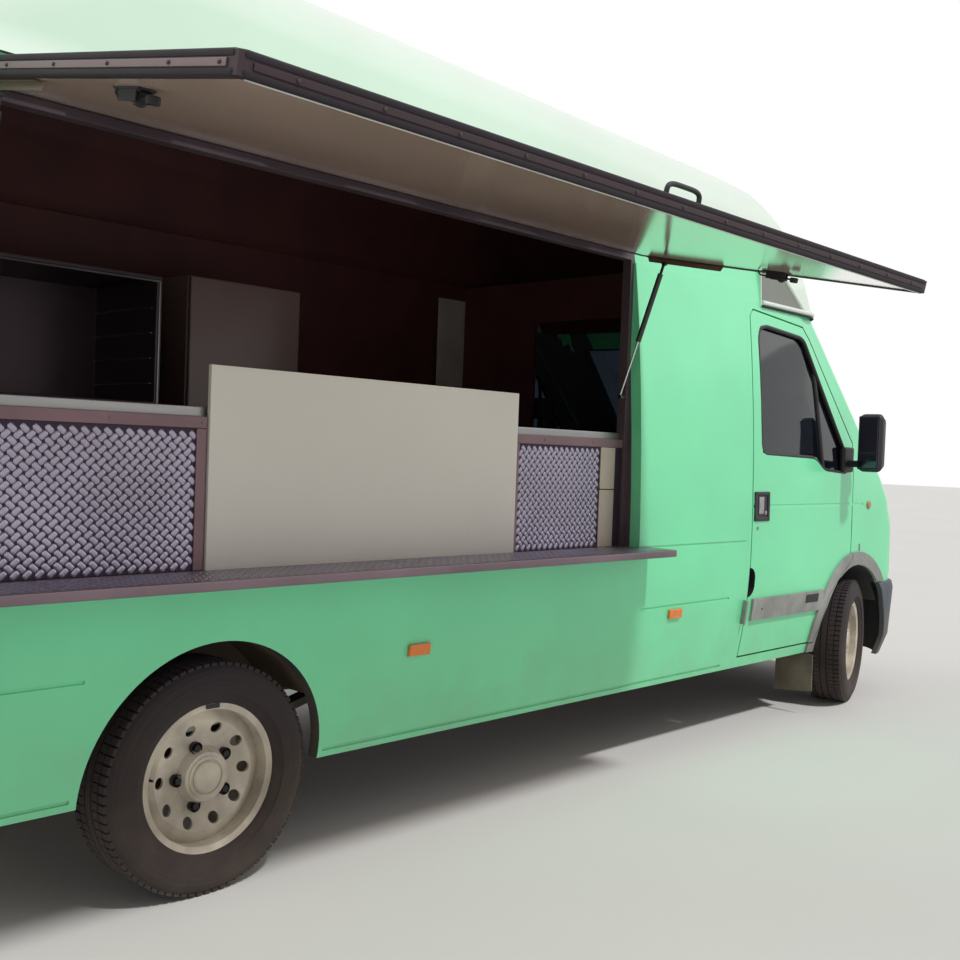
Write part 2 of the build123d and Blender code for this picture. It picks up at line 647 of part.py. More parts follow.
def rim():
    half = RIM_WIDTH / 2
    barrel = [
        (RIM_R + 12, half),
        (RIM_R + 12, half - 8),
        (RIM_R, half - 14),
        (RIM_R, -half + 14),
        (RIM_R + 12, -half + 8),
        (RIM_R + 12, -half),
        (RIM_R - RIM_WALL, -half + 6),
        (RIM_R - RIM_WALL, half - 6),
    ]
    disc = [
        (RIM_R - RIM_WALL, 30),
        (160, 48),
        (120, 30),
        (85, 36),
        (70, 62),
        (0, 62),
        (0, -24),
        (84, -24),
        (88, 20),
        (120, 20),
        (158, 38),
        (RIM_R - RIM_WALL, 20),
    ]
    wheel = revolved(barrel) + revolved(disc)
    holes = PolarLocations(140, 10)
    for place in holes:
        wheel -= Rot(90, 0, 0) * place * Cylinder(17, 200)
    return wheel


def tyre():
    half = TYRE_WIDTH / 2
    inside = TYRE_R - TREAD_THICK
    profile = [
        (RIM_R + SEAT_GAP, 60),
        (RIM_R + 55, half),
        (TYRE_R - 28, half - 3),
        (TYRE_R, half - 24),
        (TYRE_R, -half + 24),
        (TYRE_R - 28, -half + 3),
        (RIM_R + 55, -half),
        (RIM_R + SEAT_GAP, -60),
        (inside, -72),
        (inside, 72),
    ]
    return revolved(profile)


rim_solid = rim()
tyre_solid = tyre()
WHEELS = (
    ("front_left", 0, 1),
    ("front_right", 0, -1),
    ("rear_left", -WHEELBASE, 1),
    ("rear_right", -WHEELBASE, -1),
)
for place, x, sign in WHEELS:
    spot = Pos(x, sign * WHEEL_Y, TYRE_R) * Rot(0, 0, 0 if sign > 0 else 180)
    if x == 0:
        spot = steer_turn["left" if sign > 0 else "right"] * spot
    nodes[f"rim_{place}"] = spot * rim_solid
    nodes[f"tyre_{place}"] = spot * tyre_solid


# Serving frame: lining of the opening, seated on the inside of the body's wall and in its cut
cut_front = HATCH_FRONT_X + HATCH_GAP
cut_rear = HATCH_REAR_X - HATCH_GAP
cut_top = HATCH_AXIS_Z + HATCH_GAP
frame_inner_y = FRAME_OUTER_Y + FRAME_DEPTH
frame_top = HATCH_AXIS_Z + HINGE_LEAF_LOW - SEAT_GAP
frame = block((cut_rear, cut_front), (FRAME_OUTER_Y, frame_inner_y), (SHELF_TOP_Z, frame_top))
flange = body_run(WALL + SEAT_GAP, (cut_rear - 30, cut_front + 30), (SHELF_TOP_Z, 1900))
frame += flange & block((TAIL_X, 0), (-1000, frame_inner_y), (SHELF_TOP_Z, 1900))
frame -= block((cut_rear - 0.01, cut_front + 0.01), (-1000, FRAME_OUTER_Y), (SHELF_TOP_Z - 1, cut_top + 1))
frame -= block((OPEN_REAR_X, OPEN_FRONT_X), (-1001, -800), (SHELF_TOP_Z - 1, OPEN_TOP_Z))
nodes["serving_frame"] = frame

# Counter shelf, and the panels that stand on it
shelf_z = (SHELF_TOP_Z - SHELF_THICK, SHELF_TOP_Z)
shelf = block((cut_rear, cut_front), (SHELF_OUTER_Y, SHELF_INNER_Y), shelf_z)
shelf += block((SHELF_REAR_X, SHELF_FRONT_X), (SHELF_OUTER_Y, -WIDE_HALF - 1), shelf_z)
nodes["shelf"] = shelf
nodes["tread_panels"] = together(
    block(xs, (PANEL_Y, PANEL_Y + PANEL_THICK), (SHELF_TOP_Z, PANEL_TOP_Z))
    for xs in ((OPEN_REAR_X, BOARD_REAR_X - 4), (BOARD_FRONT_X + 4, OPEN_FRONT_X))
)
board_y = (FRAME_OUTER_Y, FRAME_OUTER_Y + BOARD_THICK)
nodes["board"] = block((BOARD_REAR_X, BOARD_FRONT_X), board_y, (SHELF_TOP_Z, BOARD_TOP_Z))

# Kitchen: worktops on panel legs along both sides, with an oven and a fridge on the far side
WORKTOP_Z = 1400
WORKTOP_THICK = 30
LEG_THICK = 20
COUNTER_INNER_Y = -400
worktop_z = (WORKTOP_Z - WORKTOP_THICK, WORKTOP_Z)
leg_z = (FLOOR_Z, WORKTOP_Z - WORKTOP_THICK)
worktop = block((OPEN_REAR_X, OPEN_FRONT_X), (PANEL_Y + PANEL_THICK + 5, COUNTER_INNER_Y), worktop_z)
for x in (-4700, -3650, -2760, OPEN_FRONT_X - LEG_THICK):
    worktop += block((x, x + LEG_THICK), (-860, COUNTER_INNER_Y - 20), leg_z)

FRIDGE_X = (-3400, -2850)
FAR_WALL_Y = 870
fridge = block(FRIDGE_X, (FAR_WALL_Y - 560, FAR_WALL_Y - 25), (FLOOR_Z, 1975))
back_top = block((-4750, FRIDGE_X[0] - 10), (FAR_WALL_Y - 560, FAR_WALL_Y - 5), worktop_z)
for x in (-4750, -4000, FRIDGE_X[0] - 10 - LEG_THICK):
    back_top += block((x, x + LEG_THICK), (FAR_WALL_Y - 550, 660), leg_z)
nodes["worktops"] = together([worktop, back_top])
oven = block((-4300, -3530), (FAR_WALL_Y - 560, FAR_WALL_Y - 30), (WORKTOP_Z, 1945))
oven -= block((-4275, -3555), (FAR_WALL_Y - 561, FAR_WALL_Y - 80), (WORKTOP_Z + 50, 1930))
nodes["oven"] = oven
nodes["fridge"] = fridge

# Bulkhead between cab and kitchen, with a doorway
BULKHEAD_X = (-1250, -1225)
bulkhead = body_run(WALL + SEAT_GAP, BULKHEAD_X, (FLOOR_Z, SIDE_TOP_Z))
bulkhead -= block((-1300, -1200), (-330, 330), (FLOOR_Z - 1, 2010))
nodes["bulkheads"] = together([bulkhead, firewall])

# Seats: base, cushion, backrest and headrest
SEAT_Y = 440
SEAT_X = (-1040, -560)


def seat():
    x_back, x_front = SEAT_X
    solid = block((x_back + 60, x_front - 40), (SEAT_Y - 200, SEAT_Y + 200), (FLOOR_Z, 830))
    solid += block((x_back + 30, x_front), (SEAT_Y - 250, SEAT_Y + 250), (830, 960))
    back_points = [(x_back + 130, 900), (x_back + 20, 1480), (x_back - 90, 1470), (x_back, 860)]
    face = Plane.XZ.offset(-SEAT_Y - 240) * make_face(Polyline(*back_points, close=True))
    solid += extrude(face, amount=480)
    solid += block((x_back - 75, x_back + 5), (SEAT_Y - 120, SEAT_Y + 120), (1475, 1640))
    return solid


nodes["seats"] = both_sides(seat())

# Dashboard with the steering column and wheel
WHEEL_TURN_Y = 430
HAND_WHEEL_R = 190
dash = block((30, 380), (-850, 850), (930, 1190)) & stacked(CAB_INNER_OUTLINES)
column = Pos(-60, WHEEL_TURN_Y, 1075) * Rot(0, -62, 0) * Cylinder(22, 320)
hand_rim = Pos(HAND_WHEEL_R, 0) * RegularPolygon(14, 6)
hand_rim = revolve(Plane.XZ * hand_rim, axis=Axis.Z)
hand_wheel = Pos(-200, WHEEL_TURN_Y, 1150) * Rot(0, -62, 0) * hand_rim
spokes = Box(24, 2 * HAND_WHEEL_R, 14) + Cylinder(45, 30)
spokes = Pos(-200, WHEEL_TURN_Y, 1150) * Rot(0, -62, 0) * spokes
nodes["dashboard"] = dash + column + hand_wheel + spokes

# Lamps, grille, bumpers and small outside pieces
nodes["grille"] = grille
nodes["headlamps"] = both_sides(lamp)
nodes["front_bumper"] = bumper
TAIL_LAMP_Z = (980, 1330)
TAIL_LAMP_Y = (REAR_DOOR_HALF + DOOR_GAP + 12, 915)
lamp_pocket = block((BODY_REAR_X - 1, BODY_REAR_X + 20), TAIL_LAMP_Y, TAIL_LAMP_Z)
nodes["tail_lamps"] = both_sides(block((BODY_REAR_X - 6, BODY_REAR_X + 20), TAIL_LAMP_Y, TAIL_LAMP_Z))
nodes["load_body"] = nodes["load_body"] - lamp_pocket - mirror(lamp_pocket, about=Plane.XZ)
rear_bumper = block((TAIL_X, BODY_REAR_X), (-880, 880), (370, 540))
nodes["rear_bumper"] = rear_bumper


def rear_leaf(sign):
    ys = sorted((sign * 4, sign * REAR_DOOR_HALF))
    leaf = block((BODY_REAR_X, BODY_REAR_X + REAR_DOOR_THICK), ys, (REAR_DOOR_BOTTOM_Z, REAR_DOOR_TOP_Z))
    blank_ys = sorted((sign * 90, sign * 730))
    leaf += block((BODY_REAR_X - BLANK_PROUD, BODY_REAR_X + 1), blank_ys, (1180, 2070))
    leaf += block((BODY_REAR_X - BLANK_PROUD, BODY_REAR_X + 1), blank_ys, (680, 1090))
    return leaf


# Hinge blocks of the rear doors, on the body's corner posts
for z in REAR_HINGES_Z:
    hinge_block = block(
        (BODY_REAR_X + 5, BODY_REAR_X + 25),
        (REAR_DOOR_HALF + SEAT_GAP, REAR_DOOR_HALF + DOOR_GAP + 1),
        (z - 40, z + 40),
    )
    nodes["load_body"] = nodes["load_body"] + hinge_block + mirror(hinge_block, about=Plane.XZ)
nodes["rear_door_left"] = rear_leaf(1)
nodes["rear_door_right"] = rear_leaf(-1)

# Side markers and round repeaters on the body sides
MARKERS = ((-1775, 632), (-4780, 640), (-3300, 632))
MARKER_HALF_LENGTH = 48
MARKER_HALF_HEIGHT = 20
MARKER_PROUD = 12
marker_shell = body_run(-MARKER_PROUD, (TAIL_X, CAB_REAR_X), (550, 750))
marker_shell -= body_run(-SEAT_GAP, (TAIL_X - 1, CAB_REAR_X + 1), (549, 751))
marker_solids = []
for x, z in MARKERS:
    marker_box = block(
        (x - MARKER_HALF_LENGTH, x + MARKER_HALF_LENGTH),
        (800, 1100),
        (z - MARKER_HALF_HEIGHT, z + MARKER_HALF_HEIGHT),
    )
    marker_solids.append(both_sides(marker_shell & marker_box))
nodes["side_markers"] = together(marker_solids)

# Mudflaps behind the front wheels, and the liners over them
flap_points = [
    (985, 125),
    (985, 314),
    (862, 314),
    (862, rail_top - SEAT_GAP),
    (775, rail_top - SEAT_GAP),
    (775, 105),
]
flap = extrude(Plane.YZ.offset(-480) * make_face(Polyline(*flap_points, close=True)), amount=8)
liner = ring(FRONT_ARCH_R - SEAT_GAP, FRONT_ARCH_R - 5, (LINER_INNER_Y, 920))
liner += ring(FRONT_ARCH_R - SEAT_GAP, 1, (LINER_INNER_Y, LINER_INNER_Y + 5))
liner = Pos(20, 0, TYRE_R) * liner & block((-500, 500), (0, 1100), (rail_top, 900))
nodes["arch_liners"] = together([both_sides(flap), both_sides(liner)])

# Arch trims: a flat band round each front arch, parted where the cab door begins
cab_seat = cab_grown(SEAT_GAP)
trim_form = cab_grown(TRIM_PROUD)
trim = Pos(20, 0, TYRE_R) * ring(FRONT_ARCH_R + ARCH_TRIM, FRONT_ARCH_R + 1, (880, 1100))
trim = trim & (trim_form - cab_seat)
trim -= block((0, NOSE_X), (0, 1100), (0, BUMPER_TOP_Z + DOOR_GAP))
nodes["arch_trims"] = both_sides(trim - side_prism(door_points, DOOR_GAP, (0, 1200)))


def hatch_place(shape):
    """From the hatch's own frame (X, minus length, height over the axis plane) to its open place."""
    return Pos(0, HATCH_AXIS_Y, HATCH_AXIS_Z) * Rot(HATCH_DROOP, 0, 0) * shape


def hatch_block(x, u, w):
    return block(x, (-u[1], -u[0]), w)


# Hatch: outer skin on a rim, with hinge barrels between those of the fixed leaf
HINGE_R = 6
HINGE_START = 9
BARRELS = 9
hatch_x = (HATCH_REAR_X, HATCH_FRONT_X)
hatch = hatch_block(hatch_x, (HINGE_START, HATCH_LENGTH), (HATCH_UNDER, HATCH_TOP))
hatch -= hatch_block(
    (HATCH_REAR_X + HATCH_RIM, HATCH_FRONT_X - HATCH_RIM),
    (HINGE_START + HATCH_RIM, HATCH_LENGTH - HATCH_RIM),
    (HATCH_UNDER - 1, HATCH_TOP - HATCH_SKIN),
)
barrel_step = (HATCH_FRONT_X - HATCH_REAR_X) / BARRELS
leaf_low = HATCH_AXIS_Z + HINGE_LEAF_LOW
hinge_x = (HATCH_REAR_X + 10, HATCH_FRONT_X - 10)
hinge = block(hinge_x, (HATCH_AXIS_Y + 12, frame_inner_y), (leaf_low, cut_top))
for index in range(BARRELS):
    start = HATCH_REAR_X + index * barrel_step + 1
    end = start + barrel_step - 2
    barrel = Pos((start + end) / 2, 0, 0) * Rot(0, 90, 0) * Cylinder(HINGE_R, end - start)
    if index % 2 == 0:
        web = hatch_block((start, end), (0, HINGE_START + 1), (-3, 3))
        hatch += barrel + web
    else:
        barrel = Pos(0, HATCH_AXIS_Y, HATCH_AXIS_Z) * barrel
        web = block((start, end), (HATCH_AXIS_Y, HATCH_AXIS_Y + 13), (leaf_low, HATCH_AXIS_Z + 6))
        hinge += barrel + web
nodes["hatch_hinge"] = hinge
nodes["hatch"] = hatch_place(hatch)
lining = hatch_block(
    (HATCH_REAR_X + HATCH_RIM + SEAT_GAP, HATCH_FRONT_X - HATCH_RIM - SEAT_GAP),
    (HINGE_START + HATCH_RIM + SEAT_GAP, HATCH_LENGTH - HATCH_RIM - SEAT_GAP),
    (HATCH_UNDER + 2, HATCH_UNDER + 2 + HATCH_LINING),
)
nodes["hatch_lining"] = hatch_place(lining)

# Gas struts: the tube swings on the hatch, and the rod slides out of it down to the frame
strut_top = (
    HATCH_AXIS_Y
    - STRUT_TOP_U * math.cos(math.radians(HATCH_DROOP))
    - STRUT_TOP_W * math.sin(math.radians(HATCH_DROOP)),
    HATCH_AXIS_Z
    - STRUT_TOP_U * math.sin(math.radians(HATCH_DROOP))
    + STRUT_TOP_W * math.cos(math.radians(HATCH_DROOP)),
)
strut_run = (STRUT_FOOT_Y - strut_top[0], STRUT_FOOT_Z - strut_top[1])
strut_length = math.hypot(*strut_run)
strut_lean = math.degrees(math.atan2(strut_run[0], -strut_run[1]))
lugs = []
LUG_THICK = 4
HANDLE_MID_X = -3488
LUG_CLEAR = 5
LUG_U = (60, 420)
LUG_W = (-75, HATCH_UNDER - SEAT_GAP)
LUG_ROUND = 21
for side, x, inward in (
    ("front", OPEN_FRONT_X - STRUT_INSET, -1),
    ("rear", OPEN_REAR_X + STRUT_INSET, 1),
):
    down = Pos(x, strut_top[0], strut_top[1]) * Rot(strut_lean, 0, 0)
    tube = Cylinder(STRUT_TUBE_R, STRUT_TUBE_LENGTH - STRUT_NECK)
    tube = Pos(0, 0, -(STRUT_NECK + STRUT_TUBE_LENGTH) / 2) * tube
    bore = Cylinder(STRUT_BORE_R, STRUT_TUBE_LENGTH - STRUT_ROD_INSIDE)
    bore = Pos(0, 0, -(STRUT_TUBE_LENGTH + STRUT_ROD_INSIDE) / 2 - 5) * bore
    eye = Rot(0, 90, 0) * Cylinder(STRUT_EYE_R, STRUT_EYE_THICK)
    neck = Pos(0, 0, -STRUT_NECK / 2 - 3) * Box(STRUT_NECK_THICK, 10, STRUT_NECK)
    nodes[f"strut_tube_{side}"] = down * (tube + eye + neck - bore)
    rod_top = STRUT_TUBE_LENGTH - STRUT_ROD_INSIDE
    rod = Pos(0, 0, -(rod_top + strut_length) / 2) * Cylinder(STRUT_ROD_R, strut_length - rod_top)
    foot = Pos(0, 0, -strut_length) * Rot(0, 90, 0) * Cylinder(STRUT_EYE_R, STRUT_EYE_THICK)
    nodes[f"strut_rod_{side}"] = down * (rod + foot)
    # The bracket on the hatch's rim with its pin, and the stud on the frame, each on the strut's outer side
    face_x = x - inward * (STRUT_EYE_THICK / 2 + SEAT_GAP)
    plate_x = x - inward * (STRUT_TUBE_R + LUG_CLEAR)
    plate = hatch_block(sorted((plate_x, plate_x - inward * LUG_THICK)), LUG_U, LUG_W)
    low_end = plate.edges().filter_by(Axis.X).group_by(Axis.Z)[0]
    plate = fillet(low_end, LUG_ROUND)
    pin = Pos((plate_x + face_x) / 2, -STRUT_TOP_U, STRUT_TOP_W) * Rot(0, 90, 0)
    pin *= Cylinder(STRUT_PIN_R, abs(plate_x - face_x))
    lugs.append(hatch_place(plate + pin))
    jamb_x = OPEN_FRONT_X if side == "front" else OPEN_REAR_X
    stud_length = abs(jamb_x - face_x)
    stud = Rot(0, 90, 0) * Cylinder(STRUT_PIN_R + 4, stud_length)
    stud = Pos((jamb_x + face_x) / 2, STRUT_FOOT_Y, STRUT_FOOT_Z) * stud
    nodes["serving_frame"] += stud

# Fittings of the hatch: strut brackets, a grab handle on top, and two latches below
handle_u = HATCH_LENGTH - 30
handle_low = HATCH_TOP + SEAT_GAP
handle_points = [
    (HANDLE_MID_X - 90, handle_low),
    (HANDLE_MID_X - 58, handle_low + 46),
    (HANDLE_MID_X + 58, handle_low + 46),
    (HANDLE_MID_X + 90, handle_low),
    (HANDLE_MID_X + 68, handle_low),
    (HANDLE_MID_X + 46, handle_low + 30),
    (HANDLE_MID_X - 46, handle_low + 30),
    (HANDLE_MID_X - 68, handle_low),
]
handle = Plane.XZ.offset(handle_u - 12) * make_face(Polyline(*handle_points, close=True))
lugs.append(hatch_place(extrude(handle, amount=24)))
# Each latch is a body at the hatch's short side, with a draw bar and its knob
LATCH_LOW = HATCH_UNDER - 36
for latch_x in (-4752, -2168):
    under_body = (LATCH_LOW, HATCH_UNDER + 2 - SEAT_GAP)
    latch = hatch_block((latch_x - 22, latch_x + 22), (590, 685), under_body)
    latch += Pos(latch_x, -710, LATCH_LOW + 14) * Rot(90, 0, 0) * Cylinder(6, 60)
    latch += Pos(latch_x, -726, LATCH_LOW + 14) * Cylinder(18, 18)
    lugs.append(hatch_place(latch))
nodes["hatch_fittings"] = together(lugs)

# Exhaust: silencer and pipe under the floor
EXHAUST_Y = 495
exhaust = Pos(-1500, EXHAUST_Y, 400) * Rot(0, 90, 0) * Cylinder(80, 600)
exhaust += Pos(-2500, EXHAUST_Y, 420) * Rot(0, 90, 0) * Cylinder(27, 1500)
hanger_y = (EXHAUST_Y - 10, EXHAUST_Y + 10)
exhaust += block((-1520, -1480), hanger_y, (470, rail_top - SEAT_GAP))
exhaust += block((-3020, -2980), hanger_y, (430, rail_top - SEAT_GAP))
nodes["tank_and_exhaust"] = together([tank, exhaust])

# Fittings of each cab door: mirror on its arm, handle bezel and the grey moulding
MIRROR_X = (-215, -115)
MIRROR_Y = (1050, 1180)
MIRROR_Z = (1270, 1575)
MOULDING_Z = (545, 650)


HANDLE_X = (-1150, -1010)
HANDLE_Z = (1020, 1160)
HANDLE_PROUD = 10


def door_fittings(sign):
    """The mirror, moulding, handle bezel and door part of the arch trim, on the left or mirrored."""
    head = block(MIRROR_X, MIRROR_Y, MIRROR_Z)
    head = fillet(head.edges().filter_by(Axis.X), 35)
    arm = block((-160, -75), (900, MIRROR_Y[0] + 20), (1290, 1330))
    arm += block((-200, -75), (900, 980), (1262, 1400))
    arm -= cab_seat
    moulding = (trim_form - cab_seat) & block((-1122, -400), (0, 1100), MOULDING_Z)
    moulding -= Pos(20, 0, TYRE_R) * ring(FRONT_ARCH_R + ARCH_TRIM, 1, (800, 1100))
    bezel = (cab_grown(HANDLE_PROUD) - cab_seat) & block(HANDLE_X, (0, 1100), HANDLE_Z)
    arch_part = trim & side_prism(door_points, 0, (0, 1200))
    trims = together([head + arm, moulding, bezel, arch_part])
    return trims if sign > 0 else mirror(trims, about=Plane.XZ)


nodes["door_fittings_left"] = door_fittings(1)
nodes["door_fittings_right"] = door_fittings(-1)

# The part's own origin: on the ground, under the middle of the whole outline with the hatch open
everything = together(nodes.values())
extent = everything.bounding_box()
ORIGIN = (-(extent.min.X + extent.max.X) / 2, -(extent.min.Y + extent.max.Y) / 2)
print("origin shift", ORIGIN, "low", extent.min.Z, "size", extent.size)

for name, shape in nodes.items():
    print(name, len(shape.solids()), round(shape.volume / 1e9, 5))
    export_step(Pos(ORIGIN[0], ORIGIN[1], 0) * shape, f"parts/{name}.step")
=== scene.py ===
import math
import bpy
from mathutils import Matrix, Vector
from mathutils.bvhtree import BVHTree


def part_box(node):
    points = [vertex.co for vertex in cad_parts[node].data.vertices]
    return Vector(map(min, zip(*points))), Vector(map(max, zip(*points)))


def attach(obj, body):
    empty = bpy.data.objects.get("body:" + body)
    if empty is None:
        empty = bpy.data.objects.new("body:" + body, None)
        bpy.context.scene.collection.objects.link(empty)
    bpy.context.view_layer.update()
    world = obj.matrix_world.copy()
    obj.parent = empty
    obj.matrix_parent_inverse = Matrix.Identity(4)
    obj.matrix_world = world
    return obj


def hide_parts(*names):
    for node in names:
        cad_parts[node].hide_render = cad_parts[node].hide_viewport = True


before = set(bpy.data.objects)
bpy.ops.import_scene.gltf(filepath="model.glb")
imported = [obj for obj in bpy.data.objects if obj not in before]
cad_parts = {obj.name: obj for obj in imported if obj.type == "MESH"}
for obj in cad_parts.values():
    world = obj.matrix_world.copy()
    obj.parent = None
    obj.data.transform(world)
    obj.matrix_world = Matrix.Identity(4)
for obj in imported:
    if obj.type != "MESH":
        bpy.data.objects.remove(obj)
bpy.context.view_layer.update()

# The painted load body: pressed steel sides, corner posts and rear frame, welded to one shell,
# sprayed mint green outside and closed inside with dark brown lining boards.
AXLE_TO_REAR = 4.078
AXLE_HEIGHT = 0.335
rear_left, rear_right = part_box("rim_rear_left"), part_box("rim_rear_right")
AXLE_X = (rear_left[0][0] + rear_left[1][0]) / 2 + AXLE_TO_REAR
MID_Y = (rear_left[1][1] + rear_right[0][1]) / 2
TRUCK = Matrix.Translation((AXLE_X, MID_Y, 0))
AS_IT_IS = Matrix.Identity(4)
MINT = (118, 232, 172)
ROAD_DUST = (150, 140, 120)


def srgb(red, green, blue):
    """A colour as it is seen on a screen, turned to the values that a shader takes."""
    parts = [value / 255 for value in (red, green, blue)]
    return (*(part / 12.92 if part <= 0.04045 else ((part + 0.055) / 1.055) ** 2.4 for part in parts), 1.0)


def shade(colour, factor):
    return tuple(min(255, max(0, part * factor)) for part in colour)


def alone():
    """Leaves nothing selected, so that the next operator acts on the new piece only."""
    if bpy.context.object and bpy.context.object.mode != "OBJECT":
        bpy.ops.object.mode_set(mode="OBJECT")
    bpy.ops.object.select_all(action="DESELECT")


def only(piece):
    alone()
    bpy.context.view_layer.objects.active = piece
    piece.select_set(True)
    return piece


def copied(source):
    """A copy of a piece, with a mesh of its own."""
    piece = source.copy()
    piece.data = source.data.copy()
    bpy.context.collection.objects.link(piece)
    return piece


def worked(piece, *steps):
    """Runs mesh operators, each given with its options, on the whole of a piece."""
    only(piece)
    bpy.ops.object.mode_set(mode="EDIT")
    for operator, options in steps:
        bpy.ops.mesh.select_all(action="SELECT")
        operator(**options)
    bpy.ops.object.mode_set(mode="OBJECT")
    return piece


def shaped(piece, kind, **settings):
    """Puts a modifier on a piece and applies it."""
    only(piece)
    modifier = piece.modifiers.new("step", kind)
    for name, value in settings.items():
        setattr(modifier, name, value)
    bpy.ops.object.modifier_apply(modifier="step")
    return piece


def welded(node):
    """A copy of a CAD node's mesh with its loose triangles merged to clean faces."""
    piece = copied(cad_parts[node])
    piece.parent = None
    piece.matrix_world = AS_IT_IS
    only(piece)
    bpy.ops.mesh.customdata_custom_splitnormals_clear()
    return worked(piece, (bpy.ops.mesh.remove_doubles, {"threshold": 0.00003}),
                  (bpy.ops.mesh.dissolve_limited, {"angle_limit": math.radians(0.8)}))


def eased(piece, width, segments=2, angle=38):
    """Rounds the sharp edges of a piece by a small radius."""
    return shaped(piece, "BEVEL", width=width, segments=segments, limit_method="ANGLE",
                  angle_limit=math.radians(angle))


def fitted(piece, name, body, slot, *finishes, place=TRUCK, smooth=35, node=None):
    """Names a finished piece, puts it in its place, lets it ride on its body and stand for a CAD node."""
    piece.data.transform(place)
    only(piece)
    bpy.ops.object.shade_smooth_by_angle(angle=math.radians(smooth))
    shaped(piece, "WEIGHTED_NORMAL", keep_sharp=True)
    piece.data.materials.clear()
    for finish in finishes:
        piece.data.materials.append(finish)
    piece.name = name
    piece.data.name = name
    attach(piece, body)
    if node:
        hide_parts(node)
    return piece


def covered(node, name, body, slot, *finishes, width=0.003, segments=2):
    """The finished piece that stands for a CAD node and has its form, with rounded edges."""
    piece = eased(welded(node), width, segments)
    return fitted(piece, name, body, slot, *finishes, place=AS_IT_IS, node=node)


def wired(tree, node, inputs):
    """Gives a shader node's inputs their values, or links them to the outputs of other nodes."""
    for name, value in inputs.items():
        if isinstance(value, bpy.types.NodeSocket):
            tree.links.new(value, node.inputs[name])
        else:
            node.inputs[name].default_value = value


def added(tree, kind, inputs, **settings):
    node = tree.nodes.new(kind)
    for name, value in settings.items():
        setattr(node, name, value)
    wired(tree, node, inputs)
    return node


def coating(name, colour, spread=0.05, broad=1.2, rough=0.4, rough_spread=0.08, fine=90.0, bump=0.05,
            metal=0.0, coat=0.0, dust=0.0, dust_top=0.7, dust_colour=ROAD_DUST, stretch=(1, 1, 1)):
    """A painted, moulded or metal surface with cloudy colour, uneven gloss, fine grain and road dust low down."""
    finish = bpy.data.materials.new(name)
    finish.use_nodes = True
    tree = finish.node_tree
    spot = added(tree, "ShaderNodeTexCoord", {}).outputs["Object"]
    scaled = added(tree, "ShaderNodeMapping", {"Scale": stretch, "Vector": spot}).outputs["Vector"]
    clouds = added(tree, "ShaderNodeTexNoise", {"Scale": broad, "Detail": 6, "Vector": scaled}).outputs["Fac"]
    tones = added(tree, "ShaderNodeValToRGB", {"Fac": clouds})
    for element, position, factor in zip(tones.color_ramp.elements, (0.3, 0.7), (1 - spread, 1 + spread)):
        element.position = position
        element.color = srgb(*shade(colour, factor))
    tint = tones.outputs["Color"]
    grain = added(tree, "ShaderNodeTexNoise", {"Scale": fine, "Detail": 4, "Vector": scaled}).outputs["Fac"]
    dull = added(tree, "ShaderNodeMapRange", {
        "To Min": max(0.02, rough - rough_spread), "To Max": min(1.0, rough + rough_spread), "Value": clouds,
    }).outputs["Result"]
    if dust:
        height = added(tree, "ShaderNodeSeparateXYZ", {"Vector": spot}).outputs["Z"]
        fall = added(tree, "ShaderNodeMapRange", {
            "From Min": dust_top, "From Max": 0.2, "To Max": dust * 1.6, "Value": height,
        }).outputs["Result"]
        patchy = added(tree, "ShaderNodeTexNoise", {"Scale": 7.0, "Detail": 8, "Vector": spot}).outputs["Fac"]
        much = added(tree, "ShaderNodeMath", {0: fall, 1: patchy}, operation="MULTIPLY").outputs["Value"]
        tint = added(tree, "ShaderNodeMix", {0: much, 6: tint, 7: srgb(*dust_colour)}, data_type="RGBA").outputs[2]
        dull = added(tree, "ShaderNodeMath", {0: much, 1: dull}, operation="ADD", use_clamp=True).outputs["Value"]
    relief = added(tree, "ShaderNodeBump", {"Strength": bump, "Distance": 0.002, "Height": grain})
    wired(tree, tree.nodes["Principled BSDF"], {
        "Base Color": tint, "Roughness": dull, "Normal": relief.outputs["Normal"], "Metallic": metal,
        "Coat Weight": coat, "Coat Roughness": 0.12,
    })
    return finish


mint_paint = coating("mint_paint", MINT, spread=0.035, rough=0.34, rough_spread=0.08, fine=60, bump=0.02,
                     coat=0.35, dust=0.35, dust_top=0.8)
dark_lining = coating("dark_lining", (98, 50, 52), spread=0.12, broad=3, rough=0.62, fine=140, bump=0.12)
liner_black = coating("liner_black", (36, 36, 38), spread=0.2, broad=9, rough=0.75, fine=160, bump=0.2, dust=0.7)


def lined(piece, inner_half, inner_top, inner_x=(0.0, 0.0)):
    """Gives the faces that look inwards the second material of a shell."""
    for face in piece.data.polygons:
        place = face.center - Vector((AXLE_X, MID_Y, 0))
        looks_in = face.normal.y * place.y < 0 and abs(face.normal.y) > 0.5 and abs(place.y) < inner_half
        looks_down = face.normal.z < -0.3 and place.z < inner_top and abs(place.y) < inner_half
        looks_along = abs(face.normal.x) > 0.5 and inner_x[0] < place.x < inner_x[1] and abs(place.y) < 0.86
        if looks_in or looks_down or looks_along:
            face.material_index = 1


def arched(piece, x, reach, most_across=2.0, half=2.0):
    """Gives the faces that look into a wheel arch the black liner, as the third material of a shell."""
    piece.data.materials.append(liner_black)
    for face in piece.data.polygons:
        way = Vector((face.center.x - AXLE_X - x, 0, face.center.z - AXLE_HEIGHT))
        looks_in = abs(face.normal.y) < most_across and face.normal.dot(way) < -0.1
        if looks_in and 0.3 < way.length < reach and abs(face.center.y - MID_Y) < half:
            face.material_index = 2


load_body = covered("load_body", "load_body_shell", "body", "body_paint", mint_paint, dark_lining)
lined(load_body, 0.96, 2.2, (-4.96, -1.3))
arched(load_body, -AXLE_TO_REAR, 0.5, most_across=0.6)

